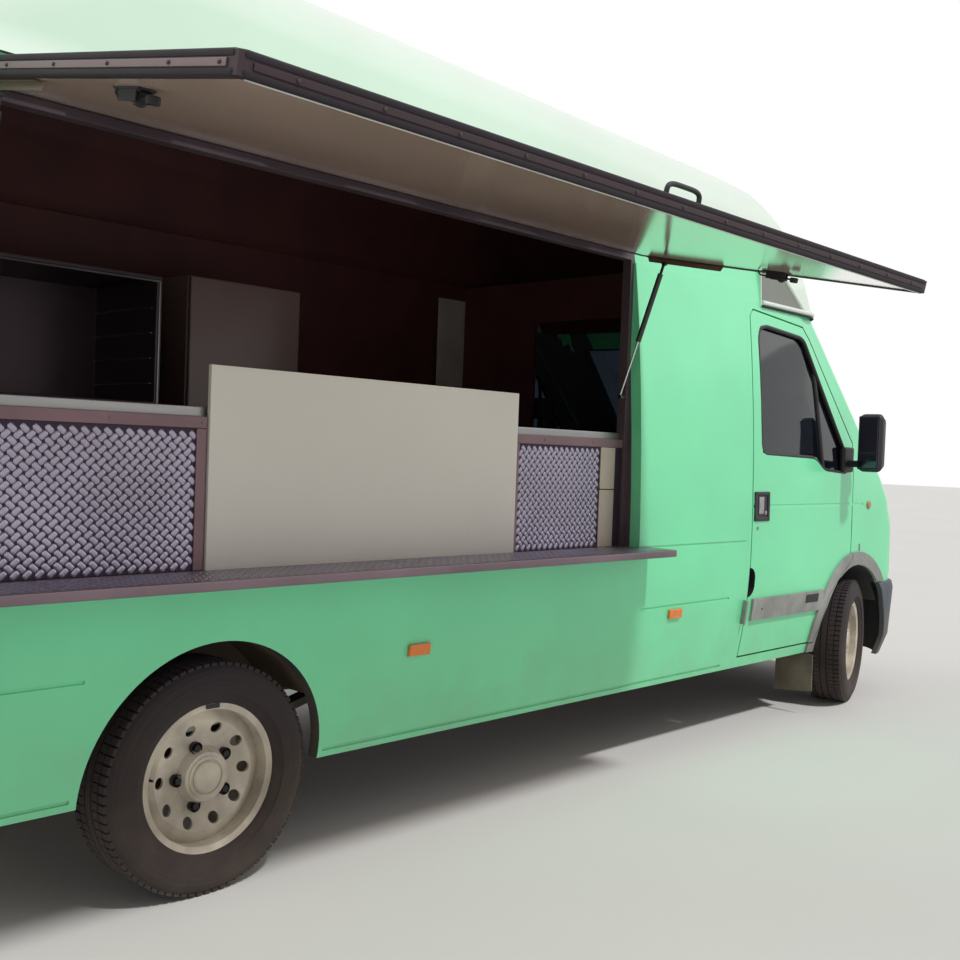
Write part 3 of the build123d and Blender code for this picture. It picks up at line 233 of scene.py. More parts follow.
# The cab's frame: wings, sills, pillars and scuttle of pressed steel, painted with the body,
# with grey headlining and carpeted panels inside.
grey_lining = coating("grey_lining", (96, 98, 100), spread=0.06, broad=5, rough=0.8, fine=220, bump=0.2)
cab_frame = covered("cab_frame", "cab_frame_shell", "body", "body_paint", mint_paint, grey_lining, width=0.004)
lined(cab_frame, 0.93, 1.99)
arched(cab_frame, 0.02, 0.47, half=0.99)

# The cab doors: hollow pressed leaves in body paint, each on two hinges at the front post.
# Black plastic lines the notch that is low in each one's rear edge.
black_fitting = coating("black_fitting", (26, 23, 29), spread=0.12, broad=9, rough=0.55, fine=180, bump=0.08)
SIDES = (("right", -1), ("left", 1))


def trees_of(*nodes):
    """The surfaces of CAD nodes, to be searched along a line."""
    trees = []
    for node in nodes:
        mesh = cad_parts[node].data
        corners = [vertex.co for vertex in mesh.vertices]
        trees.append(BVHTree.FromPolygons(corners, [tuple(face.vertices) for face in mesh.polygons]))
    return trees


def reach_of(x, z, side, trees):
    """How far out the surfaces are at a place along the truck, on the left (1) or right (-1)."""
    start = Vector((x + AXLE_X, MID_Y + side * 1.4, z))
    hits = [tree.ray_cast(start, Vector((0, -side, 0)), 0.7)[0] for tree in trees]
    return side * max([abs(hit.y - MID_Y) for hit in hits if hit is not None] + [0.7])


skins = trees_of("load_body", "cab_frame", "cab_door_right", "cab_door_left", "roof")
for side, sign in SIDES:
    leaf = covered(f"cab_door_{side}", f"cab_door_{side}_shell", f"door_{side}", "door_paint",
                   mint_paint, grey_lining, width=0.004)
    lined(leaf, 0.935, 2.1, (-1.0, -0.2))
    leaf.data.materials.append(black_fitting)
    for face in leaf.data.polygons:
        spot = face.center - Vector((AXLE_X, MID_Y, 0))
        if -1.163 < spot.x < -1.095 and 0.655 < spot.z < 0.805:
            if 0.9 < abs(spot.y) < abs(reach_of(-1.05, spot.z, sign, skins)) - 0.002:
                face.material_index = 2

# The bonnet: one pressed sheet in body paint with folded edges,
# hinged at its rear corners.
covered("bonnet", "bonnet_shell", "bonnet", "door_paint", mint_paint, width=0.005)

# The high roof: one moulding of white glass-fibre, bonded over the body's top rails,
# with a rounded brow over the cab.
white_shell = coating("white_shell", (226, 238, 226), spread=0.02, rough=0.38, fine=45, bump=0.03, coat=0.15)
lined(covered("roof", "roof_shell", "body", "roof_paint", white_shell, dark_lining, width=0.006), 0.9, 2.72)

# The rear doors: two tall pressed leaves in body paint,
# hung on the corner posts.
for side in ("left", "right"):
    covered(f"rear_door_{side}", f"rear_door_{side}_shell", f"rear_leaf_{side}", "door_paint", mint_paint, width=0.006)

# The serving hatch: a flat sandwich panel in an aluminium edge channel with rubber gaskets,
# hung from its long upper edge. All its pieces are made flat and then turned to its droop.
HATCH_TURN = math.radians(11.3)
HATCH = Matrix.Translation((AXLE_X, MID_Y - 0.955, 2.160)) @ Matrix.Rotation(HATCH_TURN, 4, "X")
HATCH_REAR, HATCH_FRONT = -4.862, -2.086
HATCH_REACH = 1.21
hatch_rim = coating("hatch_rim", (46, 28, 34), spread=0.1, broad=6, rough=0.62, fine=160, bump=0.08)
hatch_panel = covered("hatch", "hatch_panel", "hatch", "hatch_skin", mint_paint, hatch_rim, width=0.002)
for face in hatch_panel.data.polygons:
    spot = HATCH.inverted() @ face.center
    if spot.z < 0.0075 or face.normal.z < 0.2:
        face.material_index = 1


def bar(corner, other, radius=0.003, segments=3):
    """A straight bar or plate between two opposite corners, with rounded edges."""
    alone()
    spans = [sorted(pair) for pair in zip(corner, other)]
    bpy.ops.mesh.primitive_cube_add(size=1, location=[(a + b) / 2 for a, b in spans], scale=[b - a for a, b in spans])
    piece = bpy.context.object
    bpy.ops.object.transform_apply(location=True, rotation=True, scale=True)
    return eased(piece, radius, segments, 30)


def tube(points, radius, closed=False, sides=3):
    """A round profile led through points, as one closed mesh."""
    alone()
    line = bpy.data.curves.new("line", "CURVE")
    line.dimensions = "3D"
    run = line.splines.new("POLY")
    run.points.add(len(points) - 1)
    for point, place in zip(run.points, points):
        point.co = (*place, 1)
    run.use_cyclic_u = closed
    line.bevel_depth = radius
    line.bevel_resolution = sides
    line.use_fill_caps = True
    piece = bpy.data.objects.new("line", line)
    bpy.context.collection.objects.link(piece)
    only(piece)
    bpy.ops.object.convert(target="MESH")
    return bpy.context.object


gasket_rubber = coating("gasket_rubber", (26, 15, 24), spread=0.15, broad=8, rough=0.78, fine=200, bump=0.1)
channel_metal = coating("channel_metal", (104, 84, 82), spread=0.08, broad=5, rough=0.42, fine=180, bump=0.06,
                        metal=0.3)
bright_metal = coating("bright_metal", (198, 198, 194), spread=0.04, broad=6, rough=0.3, fine=240, bump=0.04,
                       metal=0.85)
for name, w in (("upper", 0.006), ("lower", -0.024)):
    bead = tube([
        (HATCH_REAR + 0.005, -0.04, w),
        (HATCH_REAR + 0.005, -HATCH_REACH + 0.017, w),
        (HATCH_REAR + 0.017, -HATCH_REACH + 0.005, w),
        (HATCH_FRONT - 0.017, -HATCH_REACH + 0.005, w),
        (HATCH_FRONT - 0.005, -HATCH_REACH + 0.017, w),
        (HATCH_FRONT - 0.005, -0.04, w),
    ], 0.0085)
    fitted(bead, f"hatch_gasket_{name}", "hatch", "hatch_skin", gasket_rubber, place=HATCH)
for side, x in (("rear", HATCH_REAR), ("front", HATCH_FRONT)):
    channel = bar((x - 0.003, -HATCH_REACH + 0.03, -0.017), (x + 0.003, -0.03, -0.002), 0.0015)
    fitted(channel, f"hatch_channel_{side}", "hatch", "hatch_skin", channel_metal, place=HATCH)
outer_channel = bar((HATCH_REAR + 0.03, -HATCH_REACH - 0.003, -0.016),
                    (HATCH_FRONT - 0.03, -HATCH_REACH + 0.003, -0.003), 0.0015)
fitted(outer_channel, "hatch_channel_outer", "hatch", "hatch_skin", hatch_rim, place=HATCH)
edge_line = tube([(x, -HATCH_REACH + 0.006, -0.0325) for x in (HATCH_REAR + 0.02, HATCH_FRONT - 0.02)], 0.0022)
fitted(edge_line, "hatch_edge_line", "hatch", "hatch_skin", bright_metal, place=HATCH)

# The screws that hold the hatch's edge channel: blackened steel with domed heads,
# driven in along both short sides and the outer edge.
SCREW_R = 0.0045
SCREW_W = -0.0095


def screw(x, y, turn, axis):
    alone()
    bpy.ops.mesh.primitive_uv_sphere_add(segments=12, ring_count=6, radius=SCREW_R, location=(0, 0, 0))
    cut = {"plane_co": (0, 0, 0), "plane_no": (0, 0, 1), "clear_inner": True, "use_fill": True}
    head = worked(bpy.context.object, (bpy.ops.mesh.bisect, cut), (bpy.ops.transform.resize, {"value": (1, 1, 0.55)}))
    head.data.transform(Matrix.Translation((x, y, SCREW_W)) @ Matrix.Rotation(math.radians(turn), 4, axis))
    return head


def joined(pieces):
    """Makes one piece of several that lie together."""
    alone()
    for piece in pieces:
        piece.select_set(True)
    bpy.context.view_layer.objects.active = pieces[0]
    bpy.ops.object.join()
    return bpy.context.object


screw_metal = coating("screw_metal", (70, 58, 60), spread=0.1, broad=20, rough=0.4, fine=300, metal=0.6)
heads = []
for y in (-0.12, -0.34, -0.56, -0.78, -1.0, -1.16):
    heads.append(screw(HATCH_REAR - 0.003, y, -90, "Y"))
    heads.append(screw(HATCH_FRONT + 0.003, y, 90, "Y"))
for index in range(14):
    x = HATCH_REAR + 0.12 + index * (HATCH_FRONT - HATCH_REAR - 0.24) / 13
    heads.append(screw(x, -HATCH_REACH - 0.003, 90, "X"))
fitted(joined(heads), "hatch_screws", "hatch", "hatch_skin", screw_metal, place=HATCH)

# The hatch's underside: a glossy coated sheet,
# glued to the panel inside its rim.
gloss_sheet = coating("gloss_sheet", (238, 208, 190), spread=0.07, broad=1.1, rough=0.12, rough_spread=0.05,
                      fine=30, bump=0.0, coat=0.8)
covered("hatch_lining", "hatch_underside", "hatch", "hatch_lining", gloss_sheet, width=0.001)

# Fittings on the hatch: two bracket bars of bent strip that carry the struts, screwed to the rim,
# a black grab handle of bent rod on top, and a black pull latch at each short side.
bracket_metal = coating("bracket_metal", (112, 86, 74), spread=0.08, broad=7, rough=0.38, fine=200, metal=0.3)
RIM_FACE = -0.0303
BRACKET_REACH = (0.058, 0.42)
BRACKET_DEEP = -0.057
for side, x, outward in (("front", -2.109, 1), ("rear", -4.811, -1)):
    strip = bar((x, -BRACKET_REACH[1], BRACKET_DEEP), (x + outward * 0.004, -BRACKET_REACH[0], RIM_FACE), 0.0008)
    for vertex in strip.data.vertices:
        near_end = min(vertex.co.y + BRACKET_REACH[1], -BRACKET_REACH[0] - vertex.co.y) < 0.004
        if near_end and vertex.co.z < -0.045:
            vertex.co.z += 0.007
            vertex.co.y += 0.010 if vertex.co.y < -0.2 else -0.010
    foot = bar((x, -BRACKET_REACH[1] + 0.02, RIM_FACE - 0.003),
               (x + outward * 0.017, -BRACKET_REACH[0] - 0.01, RIM_FACE), 0.001)
    alone()
    bpy.ops.mesh.primitive_cylinder_add(vertices=20, radius=0.0045, depth=0.022,
                                        location=(x - outward * 0.008, -0.155, -0.052),
                                        rotation=(0, math.radians(90), 0))
    pin = eased(bpy.context.object, 0.001)
    bpy.ops.object.transform_apply(location=True, rotation=True, scale=True)
    fitted(joined([strip, foot, pin]), f"hatch_bracket_{side}", "hatch", "fitting_plastic", bracket_metal,
           place=HATCH, node="hatch_fittings")

GRIP_MIDDLE = -3.538
GRIP_U = 1.18
grip_line = []
for step in range(25):
    turn = math.pi * step / 24
    along = 0.072 * math.copysign(abs(math.cos(turn)) ** 0.45, math.cos(turn))
    grip_line.append((GRIP_MIDDLE - along, -GRIP_U, 0.0135 + 0.031 * math.sin(turn) ** 0.45))
grip = [tube(grip_line, 0.0068, sides=4)]
for x in (GRIP_MIDDLE - 0.078, GRIP_MIDDLE + 0.078):
    grip.append(bar((x - 0.016, -GRIP_U - 0.011, 0.0124), (x + 0.016, -GRIP_U + 0.011, 0.0165), 0.0018))
fitted(joined(grip), "hatch_grip", "hatch", "fitting_plastic", black_fitting, place=HATCH, smooth=50,
       node="hatch_fittings")


def round_post(x, y, low, high, radius, edge=0.0015, sides=28):
    """A short upright round piece with rounded edges."""
    alone()
    bpy.ops.mesh.primitive_cylinder_add(vertices=sides, radius=radius, depth=high - low,
                                        location=(x, y, (low + high) / 2))
    post = bpy.context.object
    bpy.ops.object.transform_apply(location=True, rotation=True, scale=True)
    return eased(post, edge)


for side, x in (("rear", -4.752), ("front", -2.168)):
    hook = ((-0.655, -0.044), (-0.64, -0.047), (-0.622, -0.046), (-0.61, -0.036), (-0.61, -0.0295))
    parts = [
        bar((x - 0.021, -0.735, -0.0325), (x + 0.021, -0.635, -0.0284), 0.0012),
        bar((x - 0.019, -0.725, -0.056), (x - 0.0155, -0.655, -0.031), 0.001),
        bar((x + 0.0155, -0.725, -0.056), (x + 0.019, -0.655, -0.031), 0.001),
        bar((x - 0.012, -0.7, -0.052), (x + 0.012, -0.662, -0.036), 0.003),
        bar((x - 0.009, -0.762, -0.051), (x + 0.009, -0.69, -0.045), 0.002),
        round_post(x, -0.712, -0.061, -0.034, 0.0125),
        round_post(x, -0.712, -0.064, -0.06, 0.008),
        round_post(x, -0.762, -0.059, -0.041, 0.0145, 0.003),
        tube([(x, y, z) for y, z in hook], 0.003),
    ]
    for y in (-0.646, -0.728):
        for dx in (-0.0145, 0.0145):
            parts.append(round_post(x + dx, y, -0.036, -0.0315, 0.0042, 0.001, 12))
    fitted(joined(parts), f"hatch_latch_{side}", "hatch", "fitting_plastic", black_fitting, place=HATCH, smooth=50,
           node="hatch_fittings")

# The roof moulding's flange over each cab door with the rubber seal below it, the rim of its raised front
# and, between them, a thin grey sheet of painted shade on the roof's side, all moulded with the roof or bonded to it.
# Grey for the painted shade on the roof's side above each cab door.
roof_side_shade = coating("roof_side_shade", (132, 136, 129), spread=0.04, broad=3, rough=0.6, fine=90, bump=0.05)
roof_tree = trees_of("roof")[0]
FRONT_SLOPE = 1.45
REAR_END = -1.052


def roof_side(x, z, side):
    hit = roof_tree.ray_cast(Vector((x + AXLE_X, MID_Y + side * 1.4, z)), Vector((0, -side, 0)), 0.9)[0]
    return hit.y - MID_Y


for side, sign in SIDES:
    places = [REAR_END + 0.04 * step for step in range(17)]
    flange = [(x, roof_side(x, 2.066, sign) + sign * 0.002, 2.066) for x in places]
    rim = []
    for step in range(14):
        z = 2.062 + 0.023 * step
        x = -0.615 - FRONT_SLOPE * (z - 2.062)
        rim.append((x, roof_side(x, z, sign), z))
    fitted(joined([tube(flange, 0.012), tube(rim, 0.011)]), f"roof_flange_{side}", "body", "roof_paint", white_shell,
           smooth=60)
    seal_line = [(x, y + sign * 0.004, 2.0485) for x, y, z in flange]
    fitted(tube(seal_line, 0.005), f"roof_seal_{side}", "body", "roof_paint", gasket_rubber, smooth=60)
    # A thin grey sheet just off the roof's side: painted shade between the flange and the raised front's rim.
    alone()
    bpy.ops.mesh.primitive_grid_add(x_subdivisions=10, y_subdivisions=6, size=1)
    shade_sheet = bpy.context.object
    for vertex in shade_sheet.data.vertices:
        u, v = vertex.co.x + 0.5, vertex.co.y + 0.5
        z = 2.076 + 0.235 * v
        front = -0.645 - FRONT_SLOPE * (z - 2.076)
        x = REAR_END + u * (front - REAR_END)
        vertex.co = (x, roof_side(x, z, sign) + sign * 0.0008, z)
    shaped(shade_sheet, "SOLIDIFY", thickness=0.003, offset=0)
    fitted(shade_sheet, f"roof_side_shade_panel_{side}", "body", "roof_paint", roof_side_shade, smooth=40)

# The gas struts: a black painted cylinder with a bright ground rod,
# pinned to the hatch's bracket above and to the opening's frame below.
strut_black = coating("strut_black", (24, 22, 24), spread=0.1, broad=20, rough=0.3, fine=300, coat=0.3)
strut_bright = coating("strut_bright", (205, 205, 205), spread=0.03, broad=20, rough=0.12, fine=300, bump=0.01,
                       metal=1.0)
for side in ("front", "rear"):
    covered(f"strut_tube_{side}", f"strut_cylinder_{side}", f"tube_{side}", "strut_black", strut_black, width=0.0015)
    fitted(welded(f"strut_rod_{side}"), f"strut_slider_{side}", f"rod_{side}", "strut_rod", strut_bright,
           place=AS_IT_IS, node=f"strut_rod_{side}")

# The frame that lines the serving opening, of folded aluminium,
# and the bright steel leaf of the hatch's hinge along its top.
frame_metal = coating("frame_metal", (92, 78, 84), spread=0.08, broad=4, rough=0.42, fine=160, metal=0.35)
covered("serving_frame", "opening_frame", "body", "frame_aluminium", frame_metal, width=0.002)
covered("hatch_hinge", "hatch_hinge_leaf", "body", "hinge_steel", bright_metal, width=0.0008)

# The counter: a folded aluminium shelf and two upright panels, all covered with embossed tread plate.
# The plate's lugs are modelled once and set out in a woven field.
# One aluminium in three tones: the plate between the lugs painted dark and the shelf darker than bare metal, as painted
# shade under the hatch, and the lugs lighter, as painted highlights.
shaded_plate_metal = coating("shaded_plate_metal", (54, 42, 58), spread=0.12, broad=3.5, rough=0.5, rough_spread=0.12,
                      fine=120, bump=0.05, metal=0.6)
highlit_lug_metal = coating("highlit_lug_metal", (158, 152, 170), spread=0.07, broad=4, rough=0.3, rough_spread=0.1,
                    fine=200, bump=0.05, metal=0.75)
shaded_shelf_metal = coating("shaded_shelf_metal", (126, 108, 116), spread=0.08, broad=3, rough=0.4, fine=160, metal=0.6)
covered("shelf", "counter_shelf", "body", "shelf_board", shaded_shelf_metal, width=0.004)
covered("tread_panels", "counter_panels", "body", "tread_plate", shaded_plate_metal, width=0.0015)
LUG_PITCH = 0.0325
LUG_SIZE = (0.0258, 0.0168, 0.0019)
UPRIGHT = Matrix.Rotation(math.radians(90), 4, "X")
PANEL_FACE = -0.905


def lug(x, y, turn):
    """One embossed lug of the tread plate: a low pillow with rounded ends."""
    alone()
    bpy.ops.mesh.primitive_cube_add(size=1)
    cut = {"plane_co": (0, 0, 0), "plane_no": (0, 0, 1), "clear_inner": True}
    ridge = worked(bpy.context.object, (bpy.ops.mesh.bisect, cut))
    for vertex in ridge.data.vertices:
        if vertex.co.z > 0.2:
            vertex.co.x *= 0.8
            vertex.co.y *= 0.68
    shaped(ridge, "BEVEL", offset_type="PERCENT", width_pct=20, segments=1, limit_method="NONE")
    size = Matrix.Diagonal((LUG_SIZE[0], LUG_SIZE[1], 2 * LUG_SIZE[2], 1))
    ridge.data.transform(Matrix.Translation((x, y, 0)) @ Matrix.Rotation(math.radians(turn), 4, "Z") @ size)
    return ridge


def lug_field(name, columns, rows, place):
    """A woven field of lugs from the place on: one lattice leans right, the one between leans left."""
    field = joined([lug(LUG_PITCH * 0.3, LUG_PITCH * 0.3, 45), lug(LUG_PITCH * 0.8, LUG_PITCH * 0.8, -45)])
    for count, step in ((columns, (LUG_PITCH, 0, 0)), (rows, (0, LUG_PITCH, 0))):
        shaped(field, "ARRAY", use_relative_offset=False, use_constant_offset=True, count=count,
               constant_offset_displace=step)
    fitted(field, f"tread_lugs_{name}", "body", "tread_plate", highlit_lug_metal, place=TRUCK @ place, smooth=60)


lug_field("rear", 21, 12, Matrix.Translation((-4.817, PANEL_FACE, 0.9345)) @ UPRIGHT)
lug_field("front", 15, 12, Matrix.Translation((-2.741, PANEL_FACE, 0.9345)) @ UPRIGHT)
lug_field("shelf", 85, 6, Matrix.Translation((-4.83, -1.122, 0.930)))

# Plain strips that edge the tread panels: a brown anodised capping on top, upright strips at the board,
# and a pale two-part cover strip at the front jamb. Screws hold them.
capping = coating("capping", (124, 98, 104), spread=0.07, broad=5, rough=0.4, fine=200, metal=0.3)
cover_strip = coating("cover_strip", (184, 172, 158), spread=0.05, broad=6, rough=0.42, fine=220, metal=0.3)
strips = []
for x0, x1 in ((-4.82, -4.099), (-2.762, -2.1)):
    strips.append(bar((x0, PANEL_FACE - 0.006, 1.338), (x1, PANEL_FACE + 0.001, 1.372), 0.0015))
for x0, x1 in ((-4.132, -4.099), (-2.762, -2.744)):
    strips.append(bar((x0, PANEL_FACE - 0.0055, 0.931), (x1, PANEL_FACE + 0.001, 1.337), 0.0015))
for x in (-4.7, -4.4, -4.115, -2.6, -2.3):
    strips.append(round_post(x, 1.355, 0.0, 0.0022, 0.0042, 0.001, 12))
    strips[-1].data.transform(Matrix.Translation((0, PANEL_FACE - 0.006, 0)) @ UPRIGHT)
fitted(joined(strips), "panel_capping", "body", "tread_plate", capping)
covers = [
    bar((-2.243, PANEL_FACE - 0.005, 1.168), (-2.147, PANEL_FACE + 0.001, 1.337), 0.0015),
    bar((-2.243, PANEL_FACE - 0.0045, 0.931), (-2.147, PANEL_FACE + 0.001, 1.164), 0.0015),
]
fitted(joined(covers), "panel_cover_strips", "body", "tread_plate", cover_strip)

# The white board in the middle of the counter: a laminated sheet,
# clipped to the frame.
board_white = coating("board_white", (226, 224, 216), spread=0.02, broad=1.5, rough=0.42, fine=200, bump=0.03)
covered("board", "counter_board", "body", "white_board", board_white, width=0.0015)

# The kitchen: steel worktops on panel legs, an oven with runners inside a framed mouth,
# and the bulkhead boards behind the cab.
kitchen_steel = coating("kitchen_steel", (150, 150, 150), spread=0.05, broad=4, rough=0.32, fine=60, bump=0.05,
                        metal=0.8, stretch=(1, 12, 12))
oven_shade = coating("oven_shade", (84, 66, 76), spread=0.08, broad=4, rough=0.35, fine=90, metal=0.3)
covered("worktops", "kitchen_worktops", "body", "worktop_steel", kitchen_steel)
covered("oven", "oven_case", "body", "appliance_steel", oven_shade)
covered("bulkheads", "bulkhead_boards", "body", "bulkhead_board", dark_lining)
OVEN_LEFT, OVEN_RIGHT, OVEN_MOUTH = -4.300 + 0.012, -3.530 - 0.012, 0.310 - 0.002
OVEN_LOW, OVEN_TOP = 1.400 + 0.02, 1.945 - 0.02
rails = []
for z in (1.52, 1.62, 1.72, 1.82):
    for x0, x1 in ((-4.275, -4.2665), (-3.5635, -3.555)):
        rails.append(bar((x0, 0.335, z), (x1, 0.78, z + 0.006), 0.001))
for x in (OVEN_LEFT, OVEN_RIGHT):
    rails.append(tube([(x, OVEN_MOUTH, OVEN_LOW), (x, OVEN_MOUTH, OVEN_TOP)], 0.004))
rails.append(tube([(OVEN_LEFT, OVEN_MOUTH, OVEN_TOP), (OVEN_RIGHT, OVEN_MOUTH, OVEN_TOP)], 0.004))
fitted(joined(rails), "oven_runners", "body", "appliance_steel", kitchen_steel)

# The tall fridge: an enamelled case with a door in front,
# a gasket in the gap and a moulded pull.
FRIDGE_X, FRIDGE_Y, FRIDGE_Z = (-3.400, -2.850), (0.310, 0.845), (0.560, 1.975)
fridge_enamel = coating("fridge_enamel", (132, 104, 100), spread=0.03, broad=3, rough=0.35, fine=120, coat=0.2)
case = bar((FRIDGE_X[0], 0.338, FRIDGE_Z[0]), (FRIDGE_X[1], FRIDGE_Y[1], FRIDGE_Z[1]), 0.006)
upper_door = bar((FRIDGE_X[0], FRIDGE_Y[0], 1.005), (FRIDGE_X[1], 0.332, FRIDGE_Z[1] - 0.004), 0.007)
lower_door = bar((FRIDGE_X[0], FRIDGE_Y[0], FRIDGE_Z[0] + 0.06), (FRIDGE_X[1], 0.332, 0.997), 0.007)
fitted(joined([case, upper_door, lower_door]), "fridge_case", "body", "fridge_white", fridge_enamel, node="fridge")
gap_seal = bar((FRIDGE_X[0] + 0.01, 0.330, FRIDGE_Z[0] + 0.07),
               (FRIDGE_X[1] - 0.01, 0.3385, FRIDGE_Z[1] - 0.014), 0.001)
pull = bar((FRIDGE_X[0] + 0.02, FRIDGE_Y[0] - 0.012, 1.03), (FRIDGE_X[0] + 0.045, FRIDGE_Y[0] + 0.004, 1.29), 0.005)
fitted(joined([gap_seal, pull]), "fridge_seal_and_pull", "body", "fridge_white", black_fitting)

# A pale strip on the far wall by the bulkhead, painted light that stands for daylight from the cab,
# and the floor of the kitchen and cab, of brown boards.
# Pale colour for the painted light on the far wall.
daylight_strip_paint = coating("daylight_strip_paint", (214, 204, 196), spread=0.05, broad=6, rough=0.5, fine=200)
daylight_strip = bar((-1.459, 0.862, 1.67), (-1.25, 0.872, 2.16), 0.002)
fitted(daylight_strip, "painted_daylight_strip", "body", "bulkhead_board", daylight_strip_paint)
floor_wood = coating("floor_wood", (92, 76, 62), spread=0.15, broad=6, rough=0.6, fine=200, stretch=(1, 8, 1))
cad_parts["floor"].material_slots[0].material = floor_wood

# Underneath: rails, axles, engine, tank and exhaust, black painted or bare and dusty,
# with moulded liners in the arches and flaps behind the front wheels.
dark_steel = coating("dark_steel", (38, 36, 36), spread=0.2, broad=6, rough=0.6, fine=120, bump=0.15, dust=0.5)
cast_grey = coating("cast_grey", (96, 94, 92), spread=0.12, broad=8, rough=0.6, fine=150, bump=0.2, metal=0.5, dust=0.4)
for node in ("chassis", "rear_axle", "front_subframe", "tank_and_exhaust"):
    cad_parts[node].material_slots[0].material = dark_steel
for node in ("engine", "knuckle_left", "knuckle_right"):
    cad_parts[node].material_slots[0].material = cast_grey
covered("arch_liners", "arch_liners_and_flaps", "body", "liner_plastic", liner_black, width=0.002)

# Glass of the cab: tinted safety glass,
# bonded in front and framed in rubber in the doors.
tinted = bpy.data.materials.new("tinted_glass")
tinted.use_nodes = True
glass = tinted.node_tree
glass_spot = added(glass, "ShaderNodeTexCoord", {}).outputs["Object"]
film = added(glass, "ShaderNodeTexNoise", {"Scale": 5, "Vector": glass_spot}).outputs["Fac"]
glass_tones = added(glass, "ShaderNodeValToRGB", {"Fac": film})
for element, colour in zip(glass_tones.color_ramp.elements, ((26, 32, 40), (40, 48, 58))):
    element.color = srgb(*colour)
glass_gloss = added(glass, "ShaderNodeMapRange", {"To Min": 0.02, "To Max": 0.07, "Value": film}).outputs["Result"]
wired(glass, glass.nodes["Principled BSDF"], {
    "Transmission Weight": 0.75, "IOR": 1.45, "Base Color": glass_tones.outputs["Color"], "Roughness": glass_gloss,
})
for node, body in (("windscreen", "body"), ("door_glass_right", "door_right"), ("door_glass_left", "door_left")):
    fitted(welded(node), f"{node}_pane", body, "cab_glass", tinted, place=AS_IT_IS, smooth=25, node=node)

# Rubber seals round the door windows, pressed on along the glass,
# and the black post that parts off the quarter glass.
WINDOW = (
    (-1.075, 1.345), (-1.09, 1.925), (-1.04, 1.955), (-0.64, 1.93), (-0.15, 1.37), (-0.13, 1.26),
    (-0.42, 1.275), (-0.52, 1.335),
)
WINDOW_POST = ((-0.40, 1.27), (-0.425, 1.39), (-0.45, 1.52), (-0.47, 1.64), (-0.495, 1.775))
SEAL_R = 0.011
seal_rubber = coating("seal_rubber", (22, 20, 22), spread=0.15, broad=9, rough=0.5, fine=200, bump=0.08)
panes = {sign: trees_of(f"door_glass_{side}")[0] for side, sign in SIDES}


def pane_side(x, z, side):
    """How far out the outer face of the door glass is, or would be just past its edge."""
    near = panes[side].find_nearest(Vector((x + AXLE_X, MID_Y + side * 0.99, z)))[0]
    return near.y - MID_Y


def hoop(corners, side):
    """A closed round profile that follows the door glass along an outline with rounded corners."""
    alone()
    bpy.ops.mesh.primitive_circle_add(vertices=len(corners), radius=1)
    loop = bpy.context.object
    for vertex, (x, z) in zip(loop.data.vertices, corners):
        vertex.co = (x, 0, z)
    worked(loop, (bpy.ops.mesh.bevel, {"offset": 0.045, "segments": 4, "affect": "VERTICES"}),
           (bpy.ops.mesh.subdivide, {"number_cuts": 3}))
    for vertex in loop.data.vertices:
        vertex.co.y = pane_side(vertex.co.x, vertex.co.z, side) + side * SEAL_R
    bpy.ops.object.convert(target="CURVE")
    loop = bpy.context.object
    loop.data.bevel_depth = SEAL_R
    loop.data.bevel_resolution = 3
    bpy.ops.object.convert(target="MESH")
    return bpy.context.object


def grown(corners, distance):
    """An outline moved outwards by a distance from its middle line, corner by corner."""
    result = []
    count = len(corners)
    pairs = zip(corners, corners[1:] + corners[:1])
    way = 1 if sum(here[0] * after[1] - after[0] * here[1] for here, after in pairs) > 0 else -1
    for i in range(count):
        before, here, after = (Vector(corners[j % count]) for j in (i - 1, i, i + 1))
        first, second = (here - before).normalized(), (after - here).normalized()
        normal = Vector((first.y, -first.x)) + Vector((second.y, -second.x))
        normal = normal.normalized() * way
        edge = Vector((first.y, -first.x)) * way
        result.append(tuple(here + normal * distance / max(0.4, normal.dot(edge))))
    return result


for side, sign in SIDES:
    fitted(hoop(grown(WINDOW, 0.003), sign), f"window_seal_{side}", f"door_{side}", "cab_glass", seal_rubber, smooth=60)
    post = tube([(x, pane_side(x, z, sign), z) for x, z in WINDOW_POST], 0.012)
    fitted(post, f"window_post_{side}", f"door_{side}", "cab_glass", seal_rubber, smooth=60)

# Door fittings: the grey weathered rubbing strip and arch trim of moulded plastic,
# clipped to the steel.
grey_trim = coating("grey_trim", (142, 142, 140), spread=0.16, broad=7, rough=0.66, rough_spread=0.14, fine=160,
                    bump=0.2, dust=0.3, dust_top=0.9)


def parted(piece):
    """The separate shells of a piece, as pieces of their own."""
    worked(piece, (bpy.ops.mesh.separate, {"type": "LOOSE"}))
    return list(bpy.context.selected_objects)


def on_side(x, z, side, trees, spread=0.04):
    """A frame on the truck's side: Y up the side and Z out of it."""
    def spot(dx, dz):
        return Vector((x + dx, reach_of(x + dx, z + dz, side, trees), z + dz))
    upward = (spot(0, spread) - spot(0, -spread)).normalized()
    along = (spot(spread, 0) - spot(-spread, 0)).normalized() * -side
    outward = along.cross(upward).normalized()
    along = upward.cross(outward)
    turn = Matrix((along, upward, outward)).transposed().to_4x4()
    return TRUCK @ Matrix.Translation(spot(0, 0)) @ turn


for side, sign in SIDES:
    kept = []
    for shell in parted(welded(f"door_fittings_{side}")):
        heights = [vertex.co.z for vertex in shell.data.vertices]
        if sum(heights) / len(heights) > 0.95:
            bpy.data.objects.remove(shell)
        else:
            kept.append(shell)
    fitted(eased(joined(kept), 0.004, 3), f"door_trims_{side}", f"door_{side}", "fitting_plastic", grey_trim,
           place=AS_IT_IS, node=f"door_fittings_{side}")
covered("arch_trims", "front_arch_trims", "body", "trim_plastic", grey_trim, segments=3)

